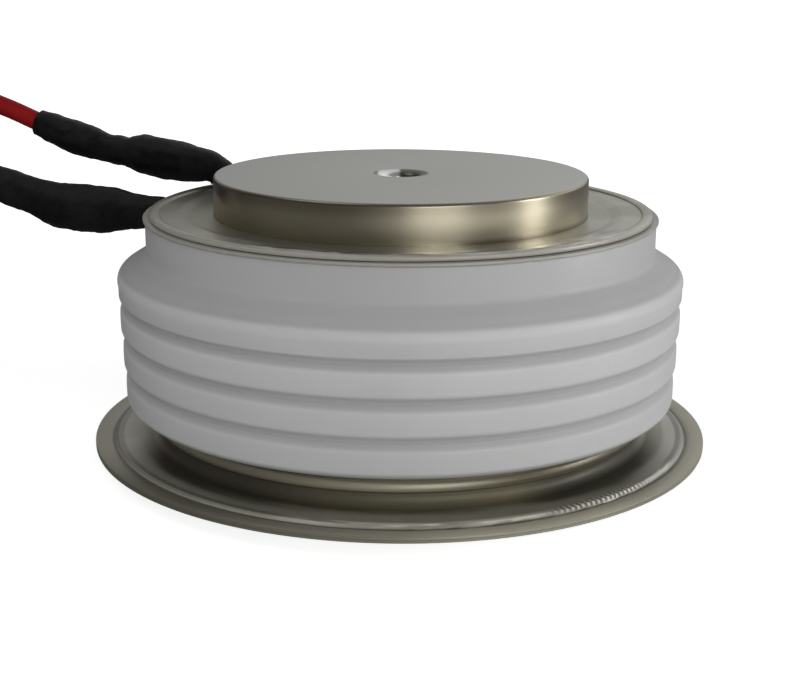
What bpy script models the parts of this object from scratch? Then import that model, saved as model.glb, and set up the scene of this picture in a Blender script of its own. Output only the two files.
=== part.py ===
"""Press-pack power semiconductor capsule with a gate lead and an auxiliary cathode lead.

Lengths are metres and +Z is up. The anode contact face lies on z = 0 with its centre at the
origin, and the cathode contact face is the top. The case is turned about Z from the outside in:
pole pieces, thin formed flanges and a shedded ceramic ring. Inside, a silicon wafer lies between
two molybdenum discs, with a sprung gate pin at its centre. Both leads leave towards -X.
"""

import math

import bmesh
import bpy
from mathutils import Matrix, Vector

# Facets round a full turn
CASE_SIDES = 48
INNER_SIDES = 28
SMALL_SIDES = 16
WIRE_SIDES = 10

# Clearances
SEAT = 0.00003
LOOSE = 0.00015

# Contact pieces
CONTACT_RADIUS = 0.0187
CONTACT_EDGE = 0.00035
SHOULDER_WIDTH = 0.0006
LOCATING_RADIUS = 0.0018
LOCATING_DEPTH = 0.0020
LOCATING_CHAMFER = 0.00025
ANODE_POLE_HEIGHT = 0.0106
ANODE_STEP = 0.0014
CATHODE_STEP = 0.0038

# Ceramic ring
BORE_CLEARANCE = 0.0009
CERAMIC_WALL = 0.00365
NECK_HEIGHT = 0.0044
NECK_CHAMFER = 0.0002
SHED_COUNT = 4
SHED_PITCH = 0.0035
SHED_REACH_BOTTOM = 0.00245
SHED_REACH_TOP = 0.0029
GROOVE_DEPTH = 0.00056
GROOVE_HALF = 0.25
CROWN_SHARE = 0.1
SHED_SHARES = (0.2, 0.5, 0.8)
FIRST_SHARE = 0.075
HOLLOW_RISE = 2.0
NOSE_RADIUS = 0.00125
NOSE_LIFT = 0.0021
NECK_FILLET = 0.00075
FOOT_CHAMFER = 0.0007

# Thin flanges
SHEET = 0.00027
FOOT_HEIGHT = 0.00408
RIM_OVERHANG = 0.00575
RIM_MARGIN = 0.0018
WELD_GROOVE = 0.00035
WELD_FILLET = 0.00095
COLLAR_INSET = 0.0004
WAIST_INSET = 0.0004
RIM_OFFSET = 0.00017
BEAD_REACH = 0.0003
BEAD_HALF_HEIGHT = 0.0006
BEAD_DROP = 0.0015
UPPER_RING_THICKNESS = 0.00025
UPPER_RING_OVERHANG = 0.0002
CATHODE_FLANGE_RISE = 0.00026
CATHODE_BEAD_HEIGHT = 0.00022
CATHODE_BEAD_WIDTH = 0.0011
CATHODE_RIM_INSET = 0.0004
MOAT_WIDTH = 0.0024

# Wafer stack
ANODE_DISC_OVERHANG = 0.0006
ANODE_DISC_THICKNESS = 0.0020
WAFER_OVERHANG = 0.0008
WAFER_THICKNESS = 0.0007
WAFER_BEVEL = 0.0006
CATHODE_DISC_INSET = 0.0003
CATHODE_DISC_THICKNESS = 0.0012
SEAL_WIDTH = 0.0008
SEAL_LIP = 0.0005
SEAL_THICKNESS = 0.00035
CENTRING_DEPTH = 0.0022

# Gate contact in the cathode pole piece
GATE_HOLE_RADIUS = 0.0026
GATE_BORE_RADIUS = 0.0045
GATE_BORE_DEPTH = 0.0072
CUP_WALL = 0.0008
PIN_STEM_RADIUS = 0.0009
PIN_HEAD_RADIUS = 0.0030
PIN_HEAD_THICKNESS = 0.0012
PIN_HEAD_LIFT = 0.0009
COLLAR_WALL = 0.0008
WASHER_THICKNESS = 0.0006
SPRING_WIRE = 0.0006
SPRING_RADIUS = 0.0021
SPRING_TURNS = 3.5
SPRING_STEPS = 35
SLOT_WIDTH = 0.0022
SLOT_HEIGHT = 0.0030
GATE_WIRE = 0.0006
GATE_WIRE_BEND = 0.0011
WIRE_SLEEVE_WALL = 0.0004

# Gate tube in the ceramic neck
GATE_DIRECTION = math.radians(160.0)
GATE_TUBE_RADIUS = 0.00085
GATE_TUBE_WALL = 0.00033
GATE_TUBE_INSET = 0.0004
GATE_TUBE_REACH = 0.0050
GATE_TUBE_DROP = 0.0017

# Auxiliary cathode tag on the cathode flange
TAG_DIRECTION = math.radians(146.0)
TAG_RADIUS = 0.0008
TAG_FOOT_RADIUS = 0.0011
TAG_BEND = [
    (0.0, 0.0),
    (0.0, 0.0007),
    (0.0004, 0.0015),
    (0.0015, 0.0021),
    (0.0033, 0.0023),
    (0.0056, 0.00255),
]

# Leads
CRIMP_RADIUS = 0.0013
CRIMP_WAIST = 0.0011
CRIMP_LENGTH = 0.0060
LEAD_RADIUS = 0.00105
LEAD_POINT_SPACING = 0.0044
LEAD_IN = 0.0030
SLEEVE_CLEARANCE = 0.00025
GATE_SLEEVE_GAP = 0.0017
COIL_TURN_RADIUS = 0.0106
COIL_COLUMNS = 2
COIL_ROWS = 3
COIL_PITCH = 0.0021
TIE_WIDTH = 0.0022
TIE_THICKNESS = 0.0005
TERMINAL_RING_RADIUS = 0.0040
TERMINAL_HOLE_RADIUS = 0.00215
TERMINAL_PLATE = 0.0008
TERMINAL_PLATE_LIFT = 0.0001
TERMINAL_TONGUE_WIDTH = 0.0032
TERMINAL_TONGUE = 0.0062
TERMINAL_BARREL_RADIUS = 0.0017
TERMINAL_BARREL_LENGTH = 0.0050
TERMINAL_SLEEVE_WALL = 0.0005
TERMINAL_SLEEVE_LENGTH = 0.0105
TERMINAL_SLEEVE_LAP = 0.0032
TERMINAL_TONGUE_LAP = 0.0014

# Radii that follow
shoulder_radius = CONTACT_RADIUS + SHOULDER_WIDTH
anode_disc_radius = CONTACT_RADIUS + ANODE_DISC_OVERHANG
wafer_radius = anode_disc_radius + WAFER_OVERHANG
cathode_disc_radius = CONTACT_RADIUS - CATHODE_DISC_INSET
seal_radius = wafer_radius + SEAL_WIDTH
bore_radius = seal_radius + BORE_CLEARANCE
neck_radius = bore_radius + CERAMIC_WALL
rim_radius = neck_radius + RIM_OVERHANG
cathode_rim_radius = neck_radius - CATHODE_RIM_INSET
upper_ring_radius = neck_radius + UPPER_RING_OVERHANG
moat_edge = CONTACT_RADIUS + MOAT_WIDTH
flat_start = max(moat_edge + CATHODE_FLANGE_RISE, bore_radius + UPPER_RING_THICKNESS)
bead_start = cathode_rim_radius - CATHODE_BEAD_WIDTH

# Heights that follow, from the foot up
rim_z = ANODE_STEP
weld_ring_z = rim_z + SHEET + SEAT
ceramic_z = rim_z + FOOT_HEIGHT
shed_top_z = ceramic_z + SHED_COUNT * SHED_PITCH
ceramic_top_z = shed_top_z + NECK_HEIGHT
upper_ring_z = ceramic_top_z + SEAT
flange_z = upper_ring_z + UPPER_RING_THICKNESS + 2 * SEAT
moat_z = flange_z - CATHODE_FLANGE_RISE
flange_top_z = flange_z + SHEET
bead_top_z = flange_top_z + CATHODE_BEAD_HEIGHT
top_z = moat_z + SHEET + CATHODE_STEP
gate_z = ceramic_top_z - GATE_TUBE_DROP

# Heights that follow, up the stack
anode_disc_z = ANODE_POLE_HEIGHT + SEAT
wafer_z = anode_disc_z + ANODE_DISC_THICKNESS + SEAT
cathode_disc_z = wafer_z + WAFER_THICKNESS + SEAT
cathode_pole_z = cathode_disc_z + CATHODE_DISC_THICKNESS + SEAT
pin_head_z = cathode_pole_z + PIN_HEAD_LIFT
gate_bore_top_z = cathode_pole_z + GATE_BORE_DEPTH
washer_z = gate_bore_top_z - CUP_WALL - SEAT - WASHER_THICKNESS


def material(name, colour, roughness, metallic):
    """A plain Principled look."""
    look = bpy.data.materials.new(name)
    look.use_nodes = True
    shader = look.node_tree.nodes["Principled BSDF"]
    shader.inputs["Base Color"].default_value = (*colour, 1.0)
    shader.inputs["Roughness"].default_value = roughness
    shader.inputs["Metallic"].default_value = metallic
    look.diffuse_color = (*colour, 1.0)
    return look


NICKEL = material("nickel_plate", (0.42, 0.40, 0.34), 0.32, 1.0)
NICKEL_SHEET = material("nickel_plated_sheet", (0.34, 0.33, 0.27), 0.28, 1.0)
CERAMIC = material("glazed_alumina", (0.72, 0.73, 0.74), 0.22, 0.0)
MOLYBDENUM = material("molybdenum", (0.40, 0.41, 0.43), 0.40, 1.0)
SILICON = material("silicon", (0.17, 0.18, 0.21), 0.12, 0.9)
SILICONE = material("silicone_seal", (0.60, 0.55, 0.45), 0.55, 0.0)
INSULATOR = material("white_insulator", (0.80, 0.79, 0.75), 0.50, 0.0)
SPRING_STEEL = material("spring_steel", (0.38, 0.38, 0.38), 0.30, 1.0)
COPPER = material("tinned_copper", (0.62, 0.58, 0.52), 0.35, 1.0)
BLACK_SLEEVE = material("black_heat_shrink", (0.012, 0.013, 0.013), 0.50, 0.0)
RED_WIRE = material("red_wire_insulation", (0.45, 0.02, 0.02), 0.45, 0.0)
WHITE_WIRE = material("white_wire_insulation", (0.70, 0.69, 0.66), 0.45, 0.0)
TIE_NYLON = material("nylon_tie", (0.55, 0.54, 0.50), 0.45, 0.0)


def add_object(name, data, look):
    """Puts a mesh or curve into the scene under its node's name."""
    data.name = name
    data.materials.append(look)
    piece = bpy.data.objects.new(name, data)
    bpy.context.scene.collection.objects.link(piece)
    return piece


def finish_mesh(name, bm, look):
    """Closes seams, points the faces outward and shades the round faces smooth."""
    bmesh.ops.remove_doubles(bm, verts=bm.verts[:], dist=1e-7)
    bmesh.ops.recalc_face_normals(bm, faces=bm.faces[:])
    if bm.calc_volume(signed=True) < 0:
        bmesh.ops.reverse_faces(bm, faces=bm.faces[:])
    mesh = bpy.data.meshes.new(name)
    bm.to_mesh(mesh)
    bm.free()
    mesh.shade_smooth()
    mesh.set_sharp_from_angle(angle=math.radians(32.0))
    return add_object(name, mesh, look)


def turned(name, outline, look, sides, open_at_axis=False):
    """Spins an outline of (radius, height) points about Z, closed first unless its ends lie on the axis."""
    bm = bmesh.new()
    points = [bm.verts.new((radius, 0.0, height)) for radius, height in outline]
    pairs = list(zip(points, points[1:]))
    if not open_at_axis:
        pairs.append((points[-1], points[0]))
    edges = [bm.edges.new(pair) for pair in pairs]
    bmesh.ops.spin(
        bm,
        geom=points + edges,
        cent=(0.0, 0.0, 0.0),
        axis=(0.0, 0.0, 1.0),
        angle=math.tau,
        steps=sides,
        use_merge=True,
    )
    return finish_mesh(name, bm, look)


def arc(centre, radius, start, end, steps):
    """Points of an arc in the outline's plane, angles in degrees from the +r direction."""
    points = []
    for step in range(steps + 1):
        angle = math.radians(start + (end - start) * step / steps)
        points.append((centre[0] + radius * math.cos(angle), centre[1] + radius * math.sin(angle)))
    return points


def radial(direction, radius, height):
    """The point at a radius and height in a direction about Z."""
    return Vector((radius * math.cos(direction), radius * math.sin(direction), height))


def lay_along(piece, start, heading):
    """Moves a piece turned about Z so that its axis runs along heading and its base is at start."""
    turn = Vector((0.0, 0.0, 1.0)).rotation_difference(heading)
    piece.matrix_world = Matrix.Translation(start) @ turn.to_matrix().to_4x4()


def cut(piece, cutter):
    """Takes the cutter's shape out of a piece."""
    cutter.hide_render = True
    cutter.display_type = "WIRE"
    boolean = piece.modifiers.new("cut", "BOOLEAN")
    boolean.operation = "DIFFERENCE"
    boolean.solver = "EXACT"
    boolean.object = cutter


def smooth_route(route, spacing):
    """Evenly spaced points on a smooth curve through the route's points."""
    points = [Vector(point) for point in route]
    ends = [2 * points[0] - points[1]] + points + [2 * points[-1] - points[-2]]
    fine = []
    for before, first, second, after in zip(ends, ends[1:], ends[2:], ends[3:]):
        for step in range(24):
            t = step / 24
            fine.append(
                0.5
                * (
                    2 * first
                    + (second - before) * t
                    + (2 * before - 5 * first + 4 * second - after) * t**2
                    + (3 * first - before - 3 * second + after) * t**3
                )
            )
    fine.append(points[-1])
    lengths = [0.0]
    for first, second in zip(fine, fine[1:]):
        lengths.append(lengths[-1] + (second - first).length)
    count = max(2, round(lengths[-1] / spacing))
    even = []
    place = 0
    for step in range(count + 1):
        target = lengths[-1] * step / count
        while place < len(fine) - 2 and lengths[place + 1] < target:
            place += 1
        share = (target - lengths[place]) / (lengths[place + 1] - lengths[place])
        even.append(fine[place].lerp(fine[place + 1], min(1.0, share)))
    return even


def free_tube(name, points, radius, look):
    """A round cord along points, as a curve with filled caps."""
    curve = bpy.data.curves.new(name, "CURVE")
    curve.dimensions = "3D"
    curve.bevel_depth = radius
    curve.bevel_resolution = 2
    curve.use_fill_caps = True
    spline = curve.splines.new("POLY")
    spline.points.add(len(points) - 1)
    for place, point in zip(spline.points, points):
        place.co = (*point, 1.0)
    return add_object(name, curve, look)


def headings(points):
    """The direction of travel at each point."""
    result = []
    for place in range(len(points)):
        before = points[max(0, place - 1)]
        after = points[min(len(points) - 1, place + 1)]
        result.append((after - before).normalized())
    return result


def ring_round(bm, centre, heading, side, radius, sides):
    """A ring of vertices round a point, square to the heading."""
    other = heading.cross(side)
    ring = []
    for step in range(sides):
        angle = math.tau * step / sides
        ring.append(bm.verts.new(centre + radius * (side * math.cos(angle) + other * math.sin(angle))))
    return ring


def join_rings(bm, rings):
    """Faces between each ring and the next."""
    for low, high in zip(rings, rings[1:]):
        for step in range(len(low)):
            after = (step + 1) % len(low)
            bm.faces.new((low[step], low[after], high[after], high[step]))


def swept(name, points, radii, look, bores=None, ways=None, sides=WIRE_SIDES):
    """A round body along points with its own radius at each, hollow where it has bores."""
    bm = bmesh.new()
    ways = ways or headings(points)
    side = ways[0].orthogonal().normalized()
    outer = []
    inner = []
    for place, point in enumerate(points):
        side = (side - ways[place] * side.dot(ways[place])).normalized()
        outer.append(ring_round(bm, point, ways[place], side, radii[place], sides))
        if bores:
            inner.append(ring_round(bm, point, ways[place], side, bores[place], sides))
    if bores:
        join_rings(bm, outer + inner[::-1] + outer[:1])
    else:
        join_rings(bm, outer)
        bm.faces.new(outer[0])
        bm.faces.new(outer[-1])
    return finish_mesh(name, bm, look)


def locating_hole(face_z, inward):
    """Outline of the centre hole in a contact face, from the axis out. inward is +1 up or -1 down."""
    floor_z = face_z + inward * LOCATING_DEPTH
    return [
        (0.0, floor_z),
        (LOCATING_RADIUS, floor_z),
        (LOCATING_RADIUS, face_z + inward * LOCATING_CHAMFER),
        (LOCATING_RADIUS + LOCATING_CHAMFER, face_z),
    ]


def contact_edge(face_z, inward):
    """The rounded outer edge of a contact face."""
    centre = (CONTACT_RADIUS - CONTACT_EDGE, face_z + inward * CONTACT_EDGE)
    return arc(centre, CONTACT_EDGE, -90 * inward, 0, 3)


def build_anode_pole():
    """Copper pole piece under the stack. The anode flange lies under its shoulder."""
    shoulder_z = rim_z + SHEET + SEAT
    outline = locating_hole(0.0, 1)
    outline += contact_edge(0.0, 1)
    outline += [
        (CONTACT_RADIUS, shoulder_z),
        (shoulder_radius, shoulder_z),
        (shoulder_radius, ANODE_POLE_HEIGHT),
        (0.0, ANODE_POLE_HEIGHT),
    ]
    return turned("anode_pole", outline, NICKEL, CASE_SIDES, open_at_axis=True)


def build_cathode_pole():
    """Copper pole piece over the stack, with the gate's bore and the slot for its wire."""
    shoulder_z = moat_z - SEAT
    outline = [
        (0.0, gate_bore_top_z),
        (GATE_BORE_RADIUS, gate_bore_top_z),
        (GATE_BORE_RADIUS, cathode_pole_z),
        (shoulder_radius, cathode_pole_z),
        (shoulder_radius, shoulder_z),
        (CONTACT_RADIUS, shoulder_z),
    ]
    outline += contact_edge(top_z, -1)[::-1]
    outline += locating_hole(top_z, -1)[::-1]
    pole = turned("cathode_pole", outline, NICKEL, CASE_SIDES, open_at_axis=True)
    cut(pole, radial_slot("pole_slot_cutter", 0.5 * GATE_BORE_RADIUS, 2 * shoulder_radius))
    return pole


def radial_slot(name, start, end):
    """Cutter for a slot in the gate's direction, from under the cathode pole up to the slot's height."""
    bm = bmesh.new()
    bmesh.ops.create_cube(bm, size=1.0)
    below = 0.5 * CATHODE_DISC_THICKNESS
    height = SLOT_HEIGHT + below
    size = Matrix.Diagonal((end - start, SLOT_WIDTH, height, 1.0))
    place = Matrix.Translation((0.5 * (start + end), 0.0, cathode_pole_z - below + 0.5 * height))
    bm.transform(Matrix.Rotation(GATE_DIRECTION, 4, "Z") @ place @ size)
    return finish_mesh(name, bm, INSULATOR)


def build_anode_flange():
    """Flat thin ring from under the anode pole's shoulder out to the rim."""
    outline = [
        (CONTACT_RADIUS + SEAT, rim_z),
        (rim_radius, rim_z),
        (rim_radius, rim_z + SHEET),
        (CONTACT_RADIUS + SEAT, rim_z + SHEET),
    ]
    return turned("anode_flange", outline, NICKEL_SHEET, CASE_SIDES)


def build_lower_weld_ring():
    """Formed sheet from the ceramic's underside, down the neck and out to the cold-welded rim."""
    lip_top = ceramic_z - SEAT
    collar_radius = neck_radius - COLLAR_INSET
    neck_outer = collar_radius - WAIST_INSET
    bead_z = ceramic_z - BEAD_DROP
    floor_z = weld_ring_z + RIM_OFFSET
    groove_radius = rim_radius - RIM_MARGIN
    fillet = WELD_FILLET
    outside = [
        (bore_radius + SHEET, lip_top),
        (collar_radius, lip_top),
        (collar_radius, bead_z + BEAD_HALF_HEIGHT),
        (collar_radius + BEAD_REACH, bead_z),
        (neck_outer, bead_z - BEAD_HALF_HEIGHT),
    ]
    outside += arc((neck_outer + fillet, floor_z + SHEET + fillet), fillet, 180, 270, 2)
    outside += [
        (groove_radius - WELD_GROOVE, floor_z + SHEET),
        (groove_radius, weld_ring_z + 0.6 * SHEET),
        (groove_radius + WELD_GROOVE, weld_ring_z + SHEET),
        (rim_radius, weld_ring_z + SHEET),
    ]
    inside = [
        (rim_radius, weld_ring_z),
        (groove_radius - WELD_GROOVE, weld_ring_z),
        (groove_radius - 2 * WELD_GROOVE, floor_z),
        (neck_outer + fillet - SHEET, floor_z),
        (neck_outer - SHEET, floor_z + fillet),
        (neck_outer - SHEET, lip_top - SHEET),
        (bore_radius + SHEET, lip_top - SHEET),
    ]
    return turned("lower_weld_ring", outside + inside, NICKEL_SHEET, CASE_SIDES)


def shed_reach(place):
    """How far the crest of a shed stands out from the neck, the lowest shed being 0."""
    share = place / (SHED_COUNT - 1)
    return SHED_REACH_BOTTOM + (SHED_REACH_TOP - SHED_REACH_BOTTOM) * share


def shed_drop(share):
    """How far a shed lies inside its crest, at a share of the way from one groove up to the next."""
    away = min(1.0, min(share, 1.0 - share) / GROOVE_HALF)
    groove = 0.5 + 0.5 * math.cos(math.pi * away)
    return GROOVE_DEPTH * (groove + CROWN_SHARE * (2.0 * share - 1.0) ** 2)


def build_ceramic_ring():
    """Glazed ring with shallow rounded sheds, a flared top shed and a plain neck."""
    outline = [(bore_radius, ceramic_z), (neck_radius + FOOT_CHAMFER, ceramic_z)]
    for place in range(SHED_COUNT - 1):
        crest = neck_radius + shed_reach(place)
        groove_z = ceramic_z + place * SHED_PITCH
        for share in (0.0 if place else FIRST_SHARE, *SHED_SHARES):
            outline.append((crest - shed_drop(share), groove_z + SHED_PITCH * share))
    last_groove_z = ceramic_z + (SHED_COUNT - 1) * SHED_PITCH
    crest = neck_radius + shed_reach(SHED_COUNT - 1)
    for share in (0.0, SHED_SHARES[0]):
        outline.append((crest - shed_drop(share), last_groove_z + SHED_PITCH * share))
    nose = (crest - NOSE_RADIUS, last_groove_z + NOSE_LIFT)
    outline += arc(nose, NOSE_RADIUS, -20, 58, 3)
    hollow = (neck_radius + NECK_FILLET, shed_top_z + HOLLOW_RISE * NECK_FILLET)
    outline += arc(hollow, NECK_FILLET, 235, 180, 2)
    outline += [
        (neck_radius, ceramic_top_z - NECK_CHAMFER),
        (neck_radius - NECK_CHAMFER, ceramic_top_z),
        (bore_radius, ceramic_top_z),
    ]
    ring = turned("ceramic_ring", outline, CERAMIC, CASE_SIDES)
    hole_radius = GATE_TUBE_RADIUS + SEAT
    hole = [(0.0, 0.0), (hole_radius, 0.0), (hole_radius, 2 * CERAMIC_WALL), (0.0, 2 * CERAMIC_WALL)]
    cutter = turned("tube_hole_cutter", hole, INSULATOR, SMALL_SIDES, open_at_axis=True)
    outward = radial(GATE_DIRECTION, 1.0, 0.0)
    lay_along(cutter, radial(GATE_DIRECTION, bore_radius - 0.5 * CERAMIC_WALL, gate_z), outward)
    cut(ring, cutter)
    return ring


def build_upper_weld_ring():
    """Flat washer brazed on the ceramic's top face, seen past the flange as a thin ledge."""
    base = upper_ring_z
    top = upper_ring_z + UPPER_RING_THICKNESS
    inner = bore_radius + UPPER_RING_THICKNESS
    outline = [(inner, base), (upper_ring_radius, base), (upper_ring_radius, top), (inner, top)]
    return turned("upper_weld_ring", outline, NICKEL_SHEET, CASE_SIDES)


def build_cathode_flange():
    """Formed sheet round the cathode pole: a sunk moat, a flat and a rounded rim bead."""
    bead_round = 0.5 * CATHODE_BEAD_HEIGHT
    crown = bead_start + 0.45 * CATHODE_BEAD_WIDTH
    over = [
        (CONTACT_RADIUS + SEAT, moat_z + SHEET),
        (moat_edge, moat_z + SHEET),
        (flat_start, flange_top_z),
        (bead_start, flange_top_z),
        (bead_start + 0.5 * bead_round, flange_top_z + 1.4 * bead_round),
        (crown, bead_top_z),
        (cathode_rim_radius - bead_round, bead_top_z - 0.15 * bead_round),
        (cathode_rim_radius - 0.2 * bead_round, bead_top_z - bead_round),
        (cathode_rim_radius, flange_top_z),
        (cathode_rim_radius, flange_z),
    ]
    under = [
        (cathode_rim_radius - SHEET, flange_z),
        (cathode_rim_radius - SHEET, bead_top_z - SHEET - 0.6 * bead_round),
        (crown, bead_top_z - SHEET),
        (bead_start + 0.8 * SHEET, flange_z),
        (flat_start, flange_z),
        (moat_edge, moat_z),
        (CONTACT_RADIUS + SEAT, moat_z),
    ]
    return turned("cathode_flange", over + under, NICKEL_SHEET, CASE_SIDES)


def disc_outline(inner, outer, base, thickness):
    """A flat washer, or a full disc where inner is 0."""
    return [(inner, base), (outer, base), (outer, base + thickness), (inner, base + thickness)]


def build_stack():
    """Molybdenum discs, the wafer with its bevelled and sealed edge, and the ring that centres them."""
    anode_disc = disc_outline(0.0, anode_disc_radius, anode_disc_z, ANODE_DISC_THICKNESS)
    turned("anode_molybdenum_disc", anode_disc, MOLYBDENUM, INNER_SIDES, open_at_axis=True)
    wafer_top = wafer_z + WAFER_THICKNESS
    wafer = [
        (0.0, wafer_z),
        (wafer_radius, wafer_z),
        (wafer_radius, wafer_z + 0.3 * WAFER_THICKNESS),
        (wafer_radius - WAFER_BEVEL, wafer_top),
        (0.0, wafer_top),
    ]
    turned("silicon_wafer", wafer, SILICON, INNER_SIDES, open_at_axis=True)
    cathode_disc = disc_outline(
        GATE_HOLE_RADIUS, cathode_disc_radius, cathode_disc_z, CATHODE_DISC_THICKNESS
    )
    turned("cathode_molybdenum_disc", cathode_disc, MOLYBDENUM, INNER_SIDES)
    build_edge_seal(wafer_top)
    ring_outer = bore_radius - LOOSE
    ring_inner = max(shoulder_radius, anode_disc_radius) + LOOSE
    ring_base = ANODE_POLE_HEIGHT - CENTRING_DEPTH
    ring_height = CENTRING_DEPTH + 0.5 * ANODE_DISC_THICKNESS
    ring = disc_outline(ring_inner, ring_outer, ring_base, ring_height)
    turned("centring_ring", ring, INSULATOR, INNER_SIDES)


def build_edge_seal(wafer_top):
    """Silicone bead cast round the wafer's edge, over its bevel and a little under it."""
    face = wafer_radius + SEAT
    lip_inner = wafer_radius - WAFER_BEVEL - SEAL_LIP
    seal_base = wafer_z - SEAL_THICKNESS
    seal = [
        (face, seal_base),
        (seal_radius - 0.5 * SEAL_WIDTH, seal_base),
        (seal_radius, wafer_z),
        (seal_radius, wafer_top),
        (wafer_radius - 0.5 * WAFER_BEVEL, wafer_top + SEAL_THICKNESS),
        (lip_inner, wafer_top + 0.5 * SEAL_THICKNESS),
        (lip_inner, wafer_top + SEAT),
        (wafer_radius - WAFER_BEVEL, wafer_top + SEAT),
        (face, wafer_z + 0.3 * WAFER_THICKNESS + SEAT),
    ]
    turned("wafer_edge_seal", seal, SILICONE, INNER_SIDES)


def build_gate_contact():
    """Gate pin pressed on the wafer's centre by a spring in an insulating cup."""
    stem_base = wafer_z + WAFER_THICKNESS + SEAT
    head_top = pin_head_z + PIN_HEAD_THICKNESS
    pin = [
        (0.0, stem_base),
        (PIN_STEM_RADIUS, stem_base),
        (PIN_STEM_RADIUS, pin_head_z),
        (PIN_HEAD_RADIUS, pin_head_z),
        (PIN_HEAD_RADIUS, head_top),
        (0.0, head_top),
    ]
    turned("gate_pin", pin, SPRING_STEEL, SMALL_SIDES, open_at_axis=True)
    collar_inner = PIN_STEM_RADIUS + LOOSE
    collar = disc_outline(
        collar_inner, collar_inner + COLLAR_WALL, stem_base, pin_head_z - SEAT - stem_base
    )
    turned("gate_pin_collar", collar, INSULATOR, SMALL_SIDES)
    build_gate_cup()
    washer = disc_outline(SPRING_RADIUS - SPRING_WIRE, PIN_HEAD_RADIUS, washer_z, WASHER_THICKNESS)
    turned("gate_pressure_washer", washer, SPRING_STEEL, SMALL_SIDES)
    build_gate_spring(head_top + SEAT, washer_z - SEAT)


def build_gate_cup():
    """Insulating cup in the gate's bore, notched where the gate wire leaves."""
    outer = GATE_BORE_RADIUS - SEAT
    inner = outer - CUP_WALL
    ceiling = gate_bore_top_z - CUP_WALL
    outline = [
        (0.0, ceiling),
        (inner, ceiling),
        (inner, cathode_pole_z + SEAT),
        (outer, cathode_pole_z + SEAT),
        (outer, gate_bore_top_z - SEAT),
        (0.0, gate_bore_top_z - SEAT),
    ]
    cup = turned("gate_insulating_cup", outline, INSULATOR, SMALL_SIDES, open_at_axis=True)
    cut(cup, radial_slot("cup_notch_cutter", 0.5 * inner, 2 * outer))


def build_gate_spring(base, top):
    """Coil spring between the pin's head and the pressure washer."""
    half = 0.5 * SPRING_WIRE
    low = base + half
    high = top - half
    points = []
    for step in range(SPRING_STEPS + 1):
        share = step / SPRING_STEPS
        angle = math.tau * SPRING_TURNS * share
        points.append(radial(angle, SPRING_RADIUS, low + (high - low) * share))
    swept("gate_spring", points, [half - SEAT] * len(points), SPRING_STEEL, sides=6)


def build_gate_wire():
    """Inner gate wire: out through the pole's slot, up beside the pole and into the gate tube."""
    wire_z = pin_head_z + 0.5 * PIN_HEAD_THICKNESS
    gap_radius = 0.5 * (shoulder_radius + bore_radius)
    radius = 0.5 * GATE_WIRE
    start = PIN_HEAD_RADIUS + SEAT
    tube_end = neck_radius + GATE_TUBE_REACH
    points = [
        radial(GATE_DIRECTION, start, wire_z),
        radial(GATE_DIRECTION, gap_radius - GATE_WIRE_BEND, wire_z),
    ]
    for step in range(1, 5):
        angle = math.radians(90.0 * step / 4)
        out = gap_radius - GATE_WIRE_BEND + GATE_WIRE_BEND * math.sin(angle)
        up = wire_z + GATE_WIRE_BEND * (1 - math.cos(angle))
        points.append(radial(GATE_DIRECTION, out, up))
    for step in range(4):
        angle = math.radians(90.0 * step / 3)
        out = gap_radius + GATE_WIRE_BEND * (1 - math.cos(angle))
        up = gate_z - GATE_WIRE_BEND + GATE_WIRE_BEND * math.sin(angle)
        points.append(radial(GATE_DIRECTION, out, up))
    points.append(radial(GATE_DIRECTION, tube_end, gate_z))
    swept("inner_gate_wire", points, [radius] * len(points), COPPER, sides=8)
    sleeve_start = GATE_BORE_RADIUS + CUP_WALL
    sleeve_end = shoulder_radius - GATE_WIRE_BEND
    bore = radius + LOOSE
    sleeve = disc_outline(bore, bore + WIRE_SLEEVE_WALL, 0.0, sleeve_end - sleeve_start)
    piece = turned("inner_gate_wire_sleeve", sleeve, INSULATOR, WIRE_SIDES)
    lay_along(piece, radial(GATE_DIRECTION, sleeve_start, wire_z), radial(GATE_DIRECTION, 1.0, 0.0))


def build_gate_tube():
    """Thin tube brazed into the ceramic neck."""
    start = bore_radius - GATE_TUBE_INSET
    length = neck_radius + GATE_TUBE_REACH - start
    outline = disc_outline(GATE_TUBE_RADIUS - GATE_TUBE_WALL, GATE_TUBE_RADIUS, 0.0, length)
    tube = turned("gate_tube", outline, NICKEL, SMALL_SIDES)
    lay_along(tube, radial(GATE_DIRECTION, start, gate_z), radial(GATE_DIRECTION, 1.0, 0.0))
    return tube


# Routes of the two leads, from each crimp to its coil, as a hand would lay them
GATE_COIL_CENTRE = Vector((-0.0700, -0.0040, 0.0))
CATHODE_COIL_CENTRE = Vector((-0.0700, 0.0265, 0.0))
coil_width = COIL_COLUMNS * COIL_PITCH
coil_height = COIL_ROWS * COIL_PITCH
coil_z = TIE_THICKNESS + 2 * LOOSE
coil_top_z = coil_z + coil_height

gate_way = radial(GATE_DIRECTION, 1.0, 0.0)
gate_tube_end = radial(GATE_DIRECTION, neck_radius + GATE_TUBE_REACH + SEAT, gate_z)
gate_lead_start = gate_tube_end + gate_way * (CRIMP_LENGTH + SEAT)
GATE_ROUTE = [
    (-0.0398, 0.0142, 0.0231),
    (-0.0443, 0.0150, 0.0245),
    (-0.0500, 0.0151, 0.0255),
    (-0.0555, 0.0134, 0.0226),
    (-0.0586, 0.0094, 0.0162),
    (-0.0594, 0.0046, 0.0108),
    (-0.0594, -0.0010, 0.0086),
]

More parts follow.
